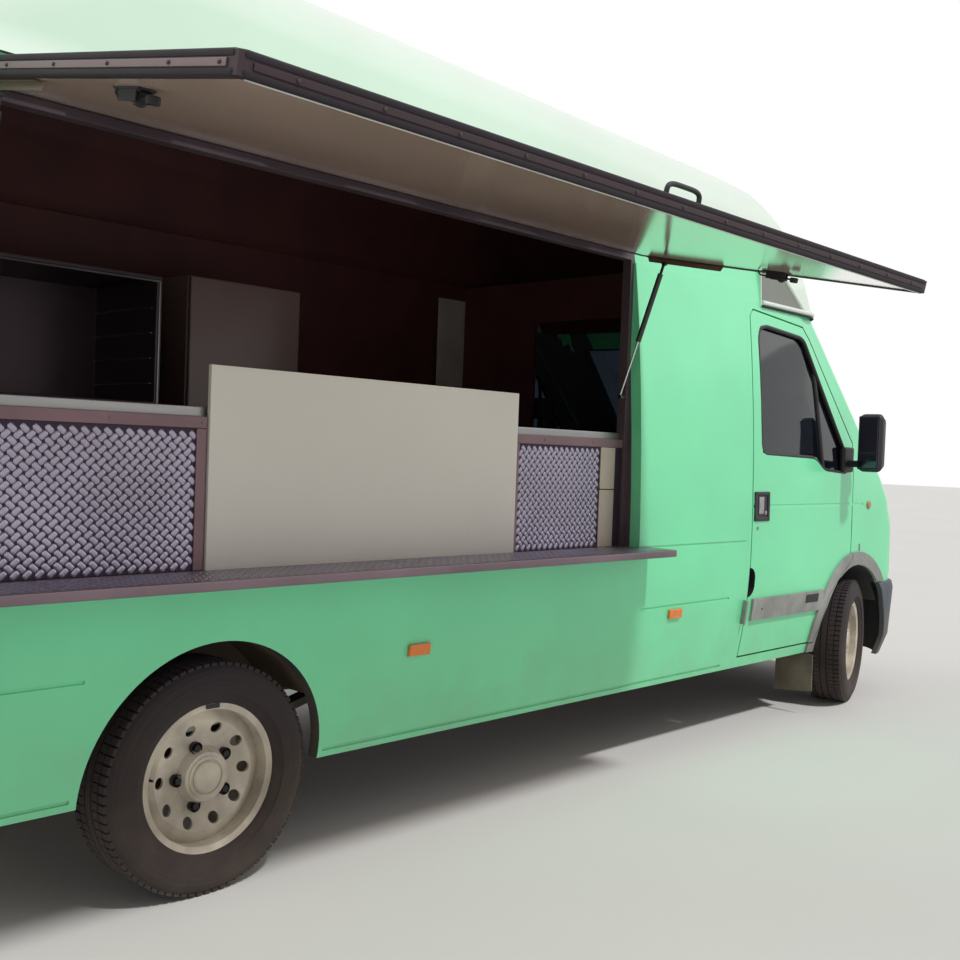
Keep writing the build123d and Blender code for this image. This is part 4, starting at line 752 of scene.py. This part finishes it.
# The door mirror: a black moulded head with a large and a small glass,
# on a stub arm from a mount in the window's corner.
mirror_glass = coating("mirror_glass", (84, 84, 98), spread=0.04, broad=9, rough=0.06, fine=300, bump=0.004, metal=1.0)
for side, sign in SIDES:
    head = bar((-0.215, sign * 1.050, 1.270), (-0.115, sign * 1.180, 1.575), 0.03, 5)
    for vertex in head.data.vertices:
        if vertex.co.x > -0.150:
            vertex.co.y = sign * 1.115 + (vertex.co.y - sign * 1.115) * 0.84
            vertex.co.z = 1.4225 + (vertex.co.z - 1.4225) * 0.9
    parts = [
        head,
        bar((-0.158, sign * 0.955, 1.292), (-0.085, sign * 1.075, 1.328), 0.012, 4),
        bar((-0.168, sign * 1.03, 1.284), (-0.080, sign * 1.06, 1.336), 0.01, 4),
        bar((-0.198, sign * 0.944, 1.264), (-0.078, sign * 0.976, 1.398), 0.012, 4),
        bar((-0.2205, sign * 1.058, 1.283), (-0.2115, sign * 1.172, 1.562), 0.004),
    ]
    fitted(joined(parts), f"mirror_head_{side}", f"door_{side}", "fitting_plastic", black_fitting, smooth=45,
           node=f"door_fittings_{side}")
    faces = [bar((-0.2225, sign * 1.066, low), (-0.2195, sign * 1.164, high), 0.0012)
             for low, high in ((1.372, 1.554), (1.291, 1.364))]
    fitted(joined(faces), f"mirror_faces_{side}", f"door_{side}", "fitting_plastic", mirror_glass)

# The door handle: a black moulded bezel round a recess with a grey pull, and a lock barrel below it.
# The rubbing strip has a blank and a screw, and a cap of the same plastic ends it on the body.
pull_grey = coating("pull_grey", (150, 146, 150), spread=0.1, broad=30, rough=0.35, fine=200, metal=0.5)
body_trees = trees_of("load_body", "cab_frame")
for side, sign in SIDES:
    door, door_trees, strip_trees = f"door_{side}", trees_of(f"cab_door_{side}"), trees_of(f"door_fittings_{side}")
    place = on_side(-1.08, 1.09, sign, door_trees)
    ring = [
        bar((-0.070, 0.052, -0.003), (0.070, 0.070, 0.0095), 0.005),
        bar((-0.070, -0.070, -0.003), (0.070, -0.050, 0.0095), 0.005),
        bar((-0.070, -0.066, -0.003), (-0.050, 0.066, 0.0095), 0.005),
        bar((0.050, -0.066, -0.003), (0.070, 0.066, 0.0095), 0.005),
        bar((-0.060, -0.060, -0.004), (0.060, 0.060, 0.0042), 0.0005),
    ]
    fitted(joined(ring), f"handle_bezel_{side}", door, "fitting_plastic", black_fitting, place=place, smooth=45,
           node=f"door_fittings_{side}")
    grasp = [bar((-0.030, -0.036, 0.003), (0.014, 0.046, 0.0088), 0.004),
             round_post(0.034, -0.030, 0.003, 0.0075, 0.010)]
    fitted(joined(grasp), f"handle_pull_{side}", door, "fitting_plastic", pull_grey, place=place)
    barrel = [round_post(0, 0, -0.003, 0.0028, 0.0095), round_post(0, 0, 0.0, 0.0036, 0.0055)]
    fitted(joined(barrel), f"door_lock_{side}", door, "fitting_plastic", pull_grey,
           place=on_side(-1.112, 0.987, sign, door_trees))
    blank = [bar((-0.066, -0.021, -0.002), (0.066, 0.021, 0.0024), 0.002),
             bar((-0.056, -0.012, 0.0), (0.050, 0.012, 0.0034), 0.001)]
    fitted(joined(blank), f"strip_blank_{side}", door, "fitting_plastic", black_fitting,
           place=on_side(-0.53, 0.615, sign, strip_trees, 0.018))
    fitted(round_post(0, 0, -0.002, 0.0012, 0.0058, 0.0008, 16), f"strip_screw_{side}", door, "fitting_plastic",
           black_fitting, place=on_side(-1.035, 0.597, sign, strip_trees, 0.02))
    cap = bar((-0.026, -0.058, -0.003), (0.026, 0.058, 0.010), 0.004)
    fitted(cap, f"strip_cap_{side}", "body", "trim_plastic", grey_trim, place=on_side(-1.194, 0.594, sign, body_trees))

# Small pieces on the wings: a round repeater with an amber lens,
# and a tiny rubber stop at the door's edge.
amber_lens = coating("amber_lens", (176, 112, 58), spread=0.1, broad=40, rough=0.25, fine=300, bump=0.2, coat=0.5)
wing_trees = trees_of("cab_frame")
for side, sign in SIDES:
    fitted(round_post(0, 0, -0.004, 0.010, 0.0225, 0.006, 32), f"wing_repeater_{side}", "body", "marker_orange",
           amber_lens, place=on_side(0.165, 1.085, sign, wing_trees), smooth=60)
    stop = bar((-0.007, -0.020, -0.002), (0.007, 0.020, 0.003), 0.002)
    fitted(stop, f"wing_stop_{side}", "body", "trim_plastic", grey_trim, place=on_side(0.06, 0.852, sign, wing_trees))

# Bumpers and grille: moulded plastic, with grip ribs on the rear step,
# and blank plates in black holders front and rear.
bumper_grey = coating("bumper_grey", (70, 78, 88), spread=0.1, broad=6, rough=0.6, fine=140, bump=0.15, dust=0.45)
black_plastic = coating("black_plastic", (30, 31, 34), spread=0.1, broad=8, rough=0.5, fine=160, bump=0.1, dust=0.3)
for node, slot, finish in (
    ("front_bumper", "bumper_plastic", bumper_grey),
    ("rear_bumper", "bumper_plastic", bumper_grey),
    ("grille", "grille_plastic", black_plastic),
):
    covered(node, f"{node}_cover", "body", slot, finish, width=0.004, segments=3)
ribs = [bar((x, -0.86, 0.5385), (x + 0.004, 0.86, 0.5425), 0.001) for x in (-5.043, -5.034, -5.025)]
fitted(joined(ribs), "rear_step_ribs", "body", "bumper_plastic", black_plastic)
plate_white = coating("plate_white", (222, 222, 216), spread=0.03, broad=5, rough=0.4, fine=120, dust=0.2)
for name, body, slot, x0, x1, y, z in (
    ("front", "body", "bumper_plastic", 0.8465, 0.8505, 0.0, 0.475),
    ("rear", "rear_leaf_left", "door_paint", -5.0275, -5.0235, 0.41, 0.80),
):
    blank = bar((x0, y - 0.26, z - 0.055), (x1, y + 0.26, z + 0.055), 0.0015)
    fitted(blank, f"blank_plate_{name}", body, slot, plate_white)
    x2, x3 = (x0 - 0.03, x0 + 0.001) if name == "front" else (x1 - 0.001, x1 + 0.006)
    holder = bar((x2, y - 0.266, z - 0.061), (x3, y + 0.266, z + 0.061), 0.002)
    fitted(holder, f"plate_holder_{name}", body, slot, black_plastic)

# Lamps: clear fluted covers in front with an amber end, three-part lamps behind
# and orange markers along the sides, all of moulded plastic.
LAMP_SPLIT = 0.6
TAIL_SPLITS = (1.09, 1.20)
clear_cover = coating("clear_cover", (196, 204, 210), spread=0.12, broad=26, rough=0.1, fine=60, bump=0.12, coat=0.8,
                      stretch=(1, 3, 0.4))
red_lens = coating("red_lens", (150, 18, 16), spread=0.1, broad=14, rough=0.2, fine=120, bump=0.1, coat=0.6)
orange_lens = coating("orange_lens", (240, 124, 28), spread=0.08, broad=20, rough=0.25, fine=200, bump=0.15, coat=0.5)


def sliced(piece, places, axis):
    """Cuts the faces of a piece at places along an axis, so that each part can take its own material."""
    way = [float(index == axis) for index in range(3)]
    return worked(piece, *((bpy.ops.mesh.bisect, {"plane_co": [place * part for part in way], "plane_no": way})
                           for place in places))


headlamps = eased(sliced(welded("headlamps"), (MID_Y - LAMP_SPLIT, MID_Y + LAMP_SPLIT), 1), 0.003)
fitted(headlamps, "headlamp_covers", "body", "lamp_lens", clear_cover, amber_lens, place=AS_IT_IS, node="headlamps")
for face in headlamps.data.polygons:
    if abs(face.center.y - MID_Y) > LAMP_SPLIT:
        face.material_index = 1
tail_lamps = eased(sliced(welded("tail_lamps"), TAIL_SPLITS, 2), 0.003)
fitted(tail_lamps, "tail_lamp_covers", "body", "tail_lens", red_lens, orange_lens, clear_cover, place=AS_IT_IS,
       node="tail_lamps")
for face in tail_lamps.data.polygons:
    face.material_index = 2 if face.center.z < TAIL_SPLITS[0] else 1 if face.center.z > 1.26 else 0
covered("side_markers", "side_marker_covers", "body", "marker_orange", orange_lens, segments=3)

# Rear door fittings: barrel hinges on the posts, a black pull handle
# and the rubber seal between the leaves.
barrels = [round_post(-5.024, sign * 0.822, z - 0.045, z + 0.045, 0.0095)
           for sign in (-1, 1) for z in (0.76, 1.38, 2.0)]
fitted(joined(barrels), "rear_hinge_barrels", "body", "door_paint", mint_paint)
grasp = [
    bar((-5.023, -0.215, 1.100), (-5.014, -0.035, 1.170), 0.003),
    bar((-5.038, -0.205, 1.122), (-5.020, -0.060, 1.150), 0.006),
    bar((-5.030, -0.058, 1.115), (-5.020, -0.042, 1.155), 0.003),
]
fitted(joined(grasp), "rear_door_handle", "rear_leaf_right", "door_paint", black_fitting)
centre_seal = tube([(-5.017, -0.0005, 0.59), (-5.017, -0.0005, 2.175)], 0.0045)
fitted(centre_seal, "rear_centre_seal", "rear_leaf_right", "door_paint", seal_rubber)

# Wipers: two black arms of bent steel with rubber blades,
# at rest at the foot of the windscreen.
screen = trees_of("windscreen")[0]


def on_screen(y, z, off):
    hit = screen.ray_cast(Vector((AXLE_X + 2, MID_Y + y, z)), Vector((-1, 0, 0)), 4)[0]
    return (hit.x - AXLE_X + off, y, z)


for side, y0 in (("right", -0.60), ("left", 0.06)):
    sweep = [on_screen(y0 + 0.54 * step / 9, 1.315 + 0.012 * math.sin(step / 3), 0.009) for step in range(10)]
    blade = tube(sweep, 0.0055)
    bends = ((0.5, 1.275, 0.0), (0.42, 1.295, 0.028), (0.27, 1.318, 0.018))
    arm = tube([on_screen(y0 + dy, z, off) for dy, z, off in bends], 0.006)
    fitted(joined([blade, arm]), f"wiper_{side}", "body", "cab_glass", black_fitting, smooth=60)

# The cab's inside: a moulded dashboard with an instrument hood and centre panel,
# and the steering wheel with its column.
parts = []
for shell in parted(welded("dashboard")):
    widths = [vertex.co.y for vertex in shell.data.vertices]
    if max(widths) - min(widths) > 1.0:
        parts.append(eased(shell, 0.02, 4))
    else:
        bpy.data.objects.remove(shell)
for piece in (
    bar((0.012, 0.22, 1.175), (0.20, 0.64, 1.245), 0.025, 4),
    bar((-0.006, -0.15, 0.935), (0.06, 0.15, 1.18), 0.015, 4),
):
    piece.data.transform(TRUCK)
    parts.append(piece)
fitted(joined(parts), "dashboard_moulding", "body", "dash_plastic", black_plastic, place=AS_IT_IS, node="dashboard")
HAND_WHEEL_R = 0.178
turns = [math.tau * step / 48 for step in range(48)]
hand_wheel = [
    tube([(HAND_WHEEL_R * math.cos(turn), HAND_WHEEL_R * math.sin(turn), 0.0) for turn in turns], 0.0125,
         closed=True, sides=5),
    round_post(0, 0, -0.02, 0.012, 0.05, 0.008),
    bar((-0.012, -0.17, -0.008), (0.012, 0.17, 0.002), 0.004),
    bar((-0.17, -0.012, -0.008), (0.0, 0.012, 0.002), 0.004),
    tube([(0, 0, -0.02), (0, 0, -0.27)], 0.024),
]
turn = TRUCK @ Matrix.Translation((-0.2, 0.43, 1.15)) @ Matrix.Rotation(math.radians(-62), 4, "Y")
fitted(joined(hand_wheel), "hand_wheel", "body", "dash_plastic", black_plastic, place=turn, smooth=50)

# Seats: foam cushions in sewn cloth on a moulded base.
# One seat is made and copied to the other side.
seat_cloth = coating("seat_cloth", (58, 60, 70), spread=0.12, broad=12, rough=0.9, fine=420, bump=0.4)
SEAT_Y = 0.44
PUFF_STEPS = 20
PUFF_MOST = 0.022


def puffed(low, high, channels, axis):
    """A cushion: a soft box blown up by a cloth simulation, with sewn channels pressed in on its face."""
    piece = bar(low, high, 0.022, 3)
    only(piece)
    piece.data.remesh_voxel_size = 0.012
    bpy.ops.object.voxel_remesh()
    start = [vertex.co.copy() for vertex in piece.data.vertices]
    cover = piece.modifiers.new("cover", "CLOTH")
    cover.settings.use_pressure = True
    cover.settings.uniform_pressure_force = 4
    cover.settings.effector_weights.gravity = 0
    cover.point_cache.frame_start = 1
    cover.point_cache.frame_end = PUFF_STEPS
    for step in range(1, PUFF_STEPS + 1):
        bpy.context.scene.frame_set(step)
    bpy.ops.object.modifier_apply(modifier="cover")
    bpy.context.scene.frame_set(1)
    for vertex, before in zip(piece.data.vertices, start):
        move = vertex.co - before
        if move.length > PUFF_MOST:
            vertex.co = before + move * (PUFF_MOST / move.length)
    shaped(piece, "SUBSURF", levels=1)
    inward = 2 if axis == 0 else 0
    top = max(vertex.co[inward] for vertex in piece.data.vertices)
    for vertex in piece.data.vertices:
        for place in channels:
            near = abs(vertex.co[1] - place) / 0.014
            if near < 1 and vertex.co[inward] > top - 0.05:
                vertex.co[inward] -= 0.009 * (1 - near) ** 0.7
    return piece


LEAN = Matrix.Rotation(math.radians(-8.4), 4, "Y")
for name, low, high, channels, axis, x, z, lean in (
    ("cushion", (-0.205, -0.225, 0.015), (0.205, 0.225, 0.100), (-0.13, 0.13), 0, -0.785, 0.838, AS_IT_IS),
    ("backrest", (-0.045, -0.215, 0.02), (0.045, 0.215, 0.56), (-0.12, 0.12), 1, -0.985, 0.885, LEAN),
    ("headrest", (-0.03, -0.105, 0.01), (0.03, 0.105, 0.125), (), 1, -1.078, 1.49, LEAN),
):
    soft = puffed(low, high, channels, axis)
    soft.data.transform(Matrix.Translation((x, SEAT_Y, z)) @ lean)
    for piece, side, shift in ((soft, "left", 0.0), (copied(soft), "right", -2 * SEAT_Y)):
        fitted(piece, f"seat_{name}_{side}", "body", "seat_fabric", seat_cloth,
               place=TRUCK @ Matrix.Translation((0, shift, 0)), smooth=80, node="seats")
for side, y in (("left", SEAT_Y), ("right", -SEAT_Y)):
    base = [
        bar((-0.978, y - 0.195, 0.562), (-0.602, y + 0.195, 0.835), 0.012, 3),
        bar((-0.995, y - 0.235, 0.825), (-0.575, y + 0.235, 0.853), 0.008, 3),
        tube([(-1.072, y - 0.055, 1.43), (-1.08, y - 0.055, 1.51)], 0.006),
        tube([(-1.072, y + 0.055, 1.43), (-1.08, y + 0.055, 1.51)], 0.006),
    ]
    fitted(joined(base), f"seat_base_{side}", "body", "seat_fabric", black_plastic)

# Tyres: a rubber casing with moulded sidewall rings, three closed ribs and four ranks of tread blocks.
# Each is made once about its own axle, with the outer side to the left, and copied to its hub.
tyre_black = coating("tyre_black", (32, 24, 30), spread=0.18, broad=9, rough=0.8, fine=160, bump=0.25, dust=0.35,
                     dust_colour=(110, 98, 84))
TYRE_R = AXLE_HEIGHT
CASING_R = 0.3265
BLOCKS_ROUND = 80
ABOUT_AXLE = {"center": (0, 0, 0), "axis": (0, 1, 0)}


def turned(profile, rounding, steps=96):
    """A closed outline of (place along the axle, radius) turned about the axle."""
    alone()
    bpy.ops.mesh.primitive_circle_add(vertices=len(profile), radius=1)
    ring = bpy.context.object
    for vertex, (along, radius) in zip(ring.data.vertices, profile):
        vertex.co = (radius, along, 0)
    return worked(
        ring,
        (bpy.ops.mesh.bevel, {"offset": rounding, "segments": 3, "affect": "VERTICES"}),
        (bpy.ops.mesh.spin, {"steps": steps, "angle": math.tau, **ABOUT_AXLE}),
        (bpy.ops.mesh.remove_doubles, {"threshold": 0.00002}),
        (bpy.ops.mesh.normals_make_consistent, {"inside": False}),
    )


def ranked(piece, count):
    """Copies of a piece all round the axle, in one mesh."""
    around = {"steps": count - 1, "dupli": True, "angle": math.tau * (count - 1) / count, **ABOUT_AXLE}
    return worked(piece, (bpy.ops.mesh.spin, around))


half_casing = [
    (0.0595, 0.2056), (0.0745, 0.2085), (0.0885, 0.2215), (0.0985, 0.240), (0.0995, 0.2415), (0.1035, 0.2435),
    (0.1045, 0.262), (0.1035, 0.2810), (0.1045, 0.2830), (0.1030, 0.2850), (0.1000, 0.3020), (0.0930, 0.3160),
    (0.0840, CASING_R - 0.001),
]
tread = [turned(half_casing + [(-y, r) for y, r in reversed(half_casing)] + [(-0.072, 0.315), (0.072, 0.315)], 0.0012)]
for y0, y1 in ((-0.0135, 0.0135), (0.0195, 0.0235), (-0.0235, -0.0195)):
    low, high = CASING_R - 0.002, TYRE_R - 0.0008
    tread.append(turned([(y0, low), (y0, high), (y1, high), (y1, low)], 0.001))
blocks = []
for y0, y1, length in (
    (0.056, 0.086, 0.0205), (-0.086, -0.056, 0.0205), (0.0235, 0.050, 0.0235), (-0.050, -0.0235, 0.0235),
):
    blocks.append(bar((-length / 2, y0, CASING_R - 0.003), (length / 2, y1, TYRE_R - 0.0009), 0.0012, 1))
tread.append(ranked(joined(blocks), BLOCKS_ROUND))
first_tyre = joined(tread)
STEER = math.radians(15)
WHEEL_PLACES = {}
for side, sign in (("left", 1), ("right", -1)):
    about = Matrix.Rotation(0 if sign > 0 else math.pi, 4, "Z")
    WHEEL_PLACES[f"rear_{side}"] = TRUCK @ Matrix.Translation((-AXLE_TO_REAR, sign * 0.868, TYRE_R)) @ about
    hub = (-math.sin(STEER) * sign * 0.078, sign * (0.790 + math.cos(STEER) * 0.078), TYRE_R)
    WHEEL_PLACES[f"front_{side}"] = TRUCK @ Matrix.Translation(hub) @ Matrix.Rotation(STEER, 4, "Z") @ about
for spot, matrix in WHEEL_PLACES.items():
    fitted(copied(first_tyre), f"tyre_cover_{spot}", f"wheel_{spot}", "tyre_rubber", tyre_black, place=matrix,
           smooth=40, node=f"tyre_{spot}")
bpy.data.objects.remove(first_tyre)

# Wheels: pressed steel discs with worn pale paint, five nuts in dark wells, a hub cap, a valve and a weight.
# The small pieces are made once and copied to each hub.
rim_silver = coating("rim_silver", (214, 206, 190), spread=0.14, broad=9, rough=0.45, fine=160, bump=0.12,
                     metal=0.2, dust=0.5, dust_colour=(120, 100, 84))
nut_dark = coating("nut_dark", (34, 28, 30), spread=0.2, broad=30, rough=0.55, fine=300, bump=0.2, metal=0.4)
NUT_RING_R = 0.088
WELL = ((0.034, 0.0), (0.034, 0.017), (0.0505, 0.0185), (0.0505, 0.0165), (0.040, 0.0150), (0.040, 0.0))
nuts = []
for index in range(5):
    turn = Matrix.Rotation(math.tau * index / 5, 4, "Y")
    well = turned(WELL, 0.0008, 28)
    well.data.transform(turn @ Matrix.Translation((NUT_RING_R, 0, 0)))
    alone()
    bpy.ops.mesh.primitive_cylinder_add(vertices=6, radius=0.0112, depth=0.018, location=(NUT_RING_R, 0.047, 0),
                                        rotation=(math.radians(90), 0, 0))
    nut = eased(bpy.context.object, 0.0014)
    bpy.ops.object.transform_apply(location=True, rotation=True, scale=True)
    nut.data.transform(turn)
    nuts += [well, nut]
first_nuts = joined(nuts)
CAP = ((0.060, 0.0), (0.060, 0.046), (0.0665, 0.0455), (0.0705, 0.040), (0.0735, 0.022), (0.0745, 0.0))
CAP_RING = ((0.0618, 0.0505), (0.0618, 0.060), (0.0655, 0.0585), (0.0655, 0.052))
first_caps = joined([turned(CAP, 0.0015, 48), turned(CAP_RING, 0.001, 48)])
valve = tube([(0.181, 0.040, 0.02), (0.180, 0.052, 0.02), (0.176, 0.066, 0.02)], 0.0036)
weight = bar((-0.022, 0.0815, 0.202), (0.022, 0.0865, 0.214), 0.0015)
first_extras = joined([valve, weight])
for spot, matrix in WHEEL_PLACES.items():
    fitted(eased(welded(f"rim_{spot}"), 0.003, 3), f"wheel_rim_{spot}", f"wheel_{spot}", "rim_steel", rim_silver,
           place=AS_IT_IS, smooth=40, node=f"rim_{spot}")
    for first, name, finish in (
        (first_nuts, "nuts", nut_dark), (first_caps, "cap", rim_silver), (first_extras, "valve", black_fitting),
    ):
        fitted(copied(first), f"wheel_{name}_{spot}", f"wheel_{spot}", "rim_steel", finish, place=matrix, smooth=40)
for first in (first_nuts, first_caps, first_extras):
    bpy.data.objects.remove(first)

# The studio: a pale floor, soft lamps and a white surround,
# with the camera at the photograph's place.
alone()
bpy.ops.mesh.primitive_plane_add(size=160, location=(0, 0, -0.002))
floor = bpy.context.object
floor.name = "studio_floor"
pale_floor = coating("studio_floor", (220, 218, 214), spread=0.01, broad=0.5, rough=0.85, fine=20, bump=0.01)
floor.data.materials.append(pale_floor)

world = bpy.data.worlds.new("studio")
bpy.context.scene.world = world
world.use_nodes = True
sky = world.node_tree
sky.nodes.clear()
WHITE = (1, 1, 1, 1)
ray = added(sky, "ShaderNodeLightPath", {}).outputs
seen = added(sky, "ShaderNodeMath", {0: ray["Is Camera Ray"], 1: ray["Is Transmission Ray"]}, operation="MAXIMUM")
seen = added(sky, "ShaderNodeMath", {0: seen.outputs["Value"], 1: ray["Is Glossy Ray"]}, operation="MAXIMUM")
around = added(sky, "ShaderNodeBackground", {"Color": WHITE, "Strength": 0.3})
white = added(sky, "ShaderNodeBackground", {"Color": WHITE, "Strength": 1.0})
mixed_sky = added(sky, "ShaderNodeMixShader", {
    "Fac": seen.outputs["Value"], 1: around.outputs["Background"], 2: white.outputs["Background"],
})
added(sky, "ShaderNodeOutputWorld", {"Surface": mixed_sky.outputs["Shader"]})

for name, place, aim, size, power in (
    ("key", (-1.9, -9.4, 14.3), (-1.4, -0.5, 1.0), 4.0, 1.95),
    ("fill", (9.0, -7.0, 7.0), (0.0, 0.0, 1.0), 40.0, 0.3),
    ("back", (-7.0, 9.0, 8.0), (-0.5, 0.5, 1.2), 40.0, 0.5),
):
    alone()
    bpy.ops.object.light_add(type="SUN", location=place)
    lamp = bpy.context.object
    lamp.name = name
    lamp.data.angle = math.radians(size)
    lamp.data.energy = power
    lamp.rotation_euler = (Vector(aim) - Vector(place)).to_track_quat("-Z", "Y").to_euler()

CAMERA_PLACE = (-3.8155, -3.2191, 1.299)
YAW, PITCH, ROLL = math.radians(43.32), math.radians(-1.41), math.radians(2.11)
ahead = Vector((math.cos(YAW) * math.cos(PITCH), math.sin(YAW) * math.cos(PITCH), math.sin(PITCH)))
level = Vector((math.sin(YAW), -math.cos(YAW), 0))
upward = level.cross(ahead)
across = level * math.cos(ROLL) + upward * math.sin(ROLL)
upright = upward * math.cos(ROLL) - level * math.sin(ROLL)
turn = Matrix((across, upright, -ahead)).transposed().to_4x4()
alone()
bpy.ops.object.camera_add()
camera = bpy.context.object
camera.name = "photo_camera"
camera.matrix_world = Matrix.Translation(CAMERA_PLACE) @ turn
camera.data.sensor_width = 36
camera.data.lens = 42.352
camera.data.clip_end = 400
bpy.context.scene.camera = camera
bpy.context.scene.view_settings.view_transform = "Standard"
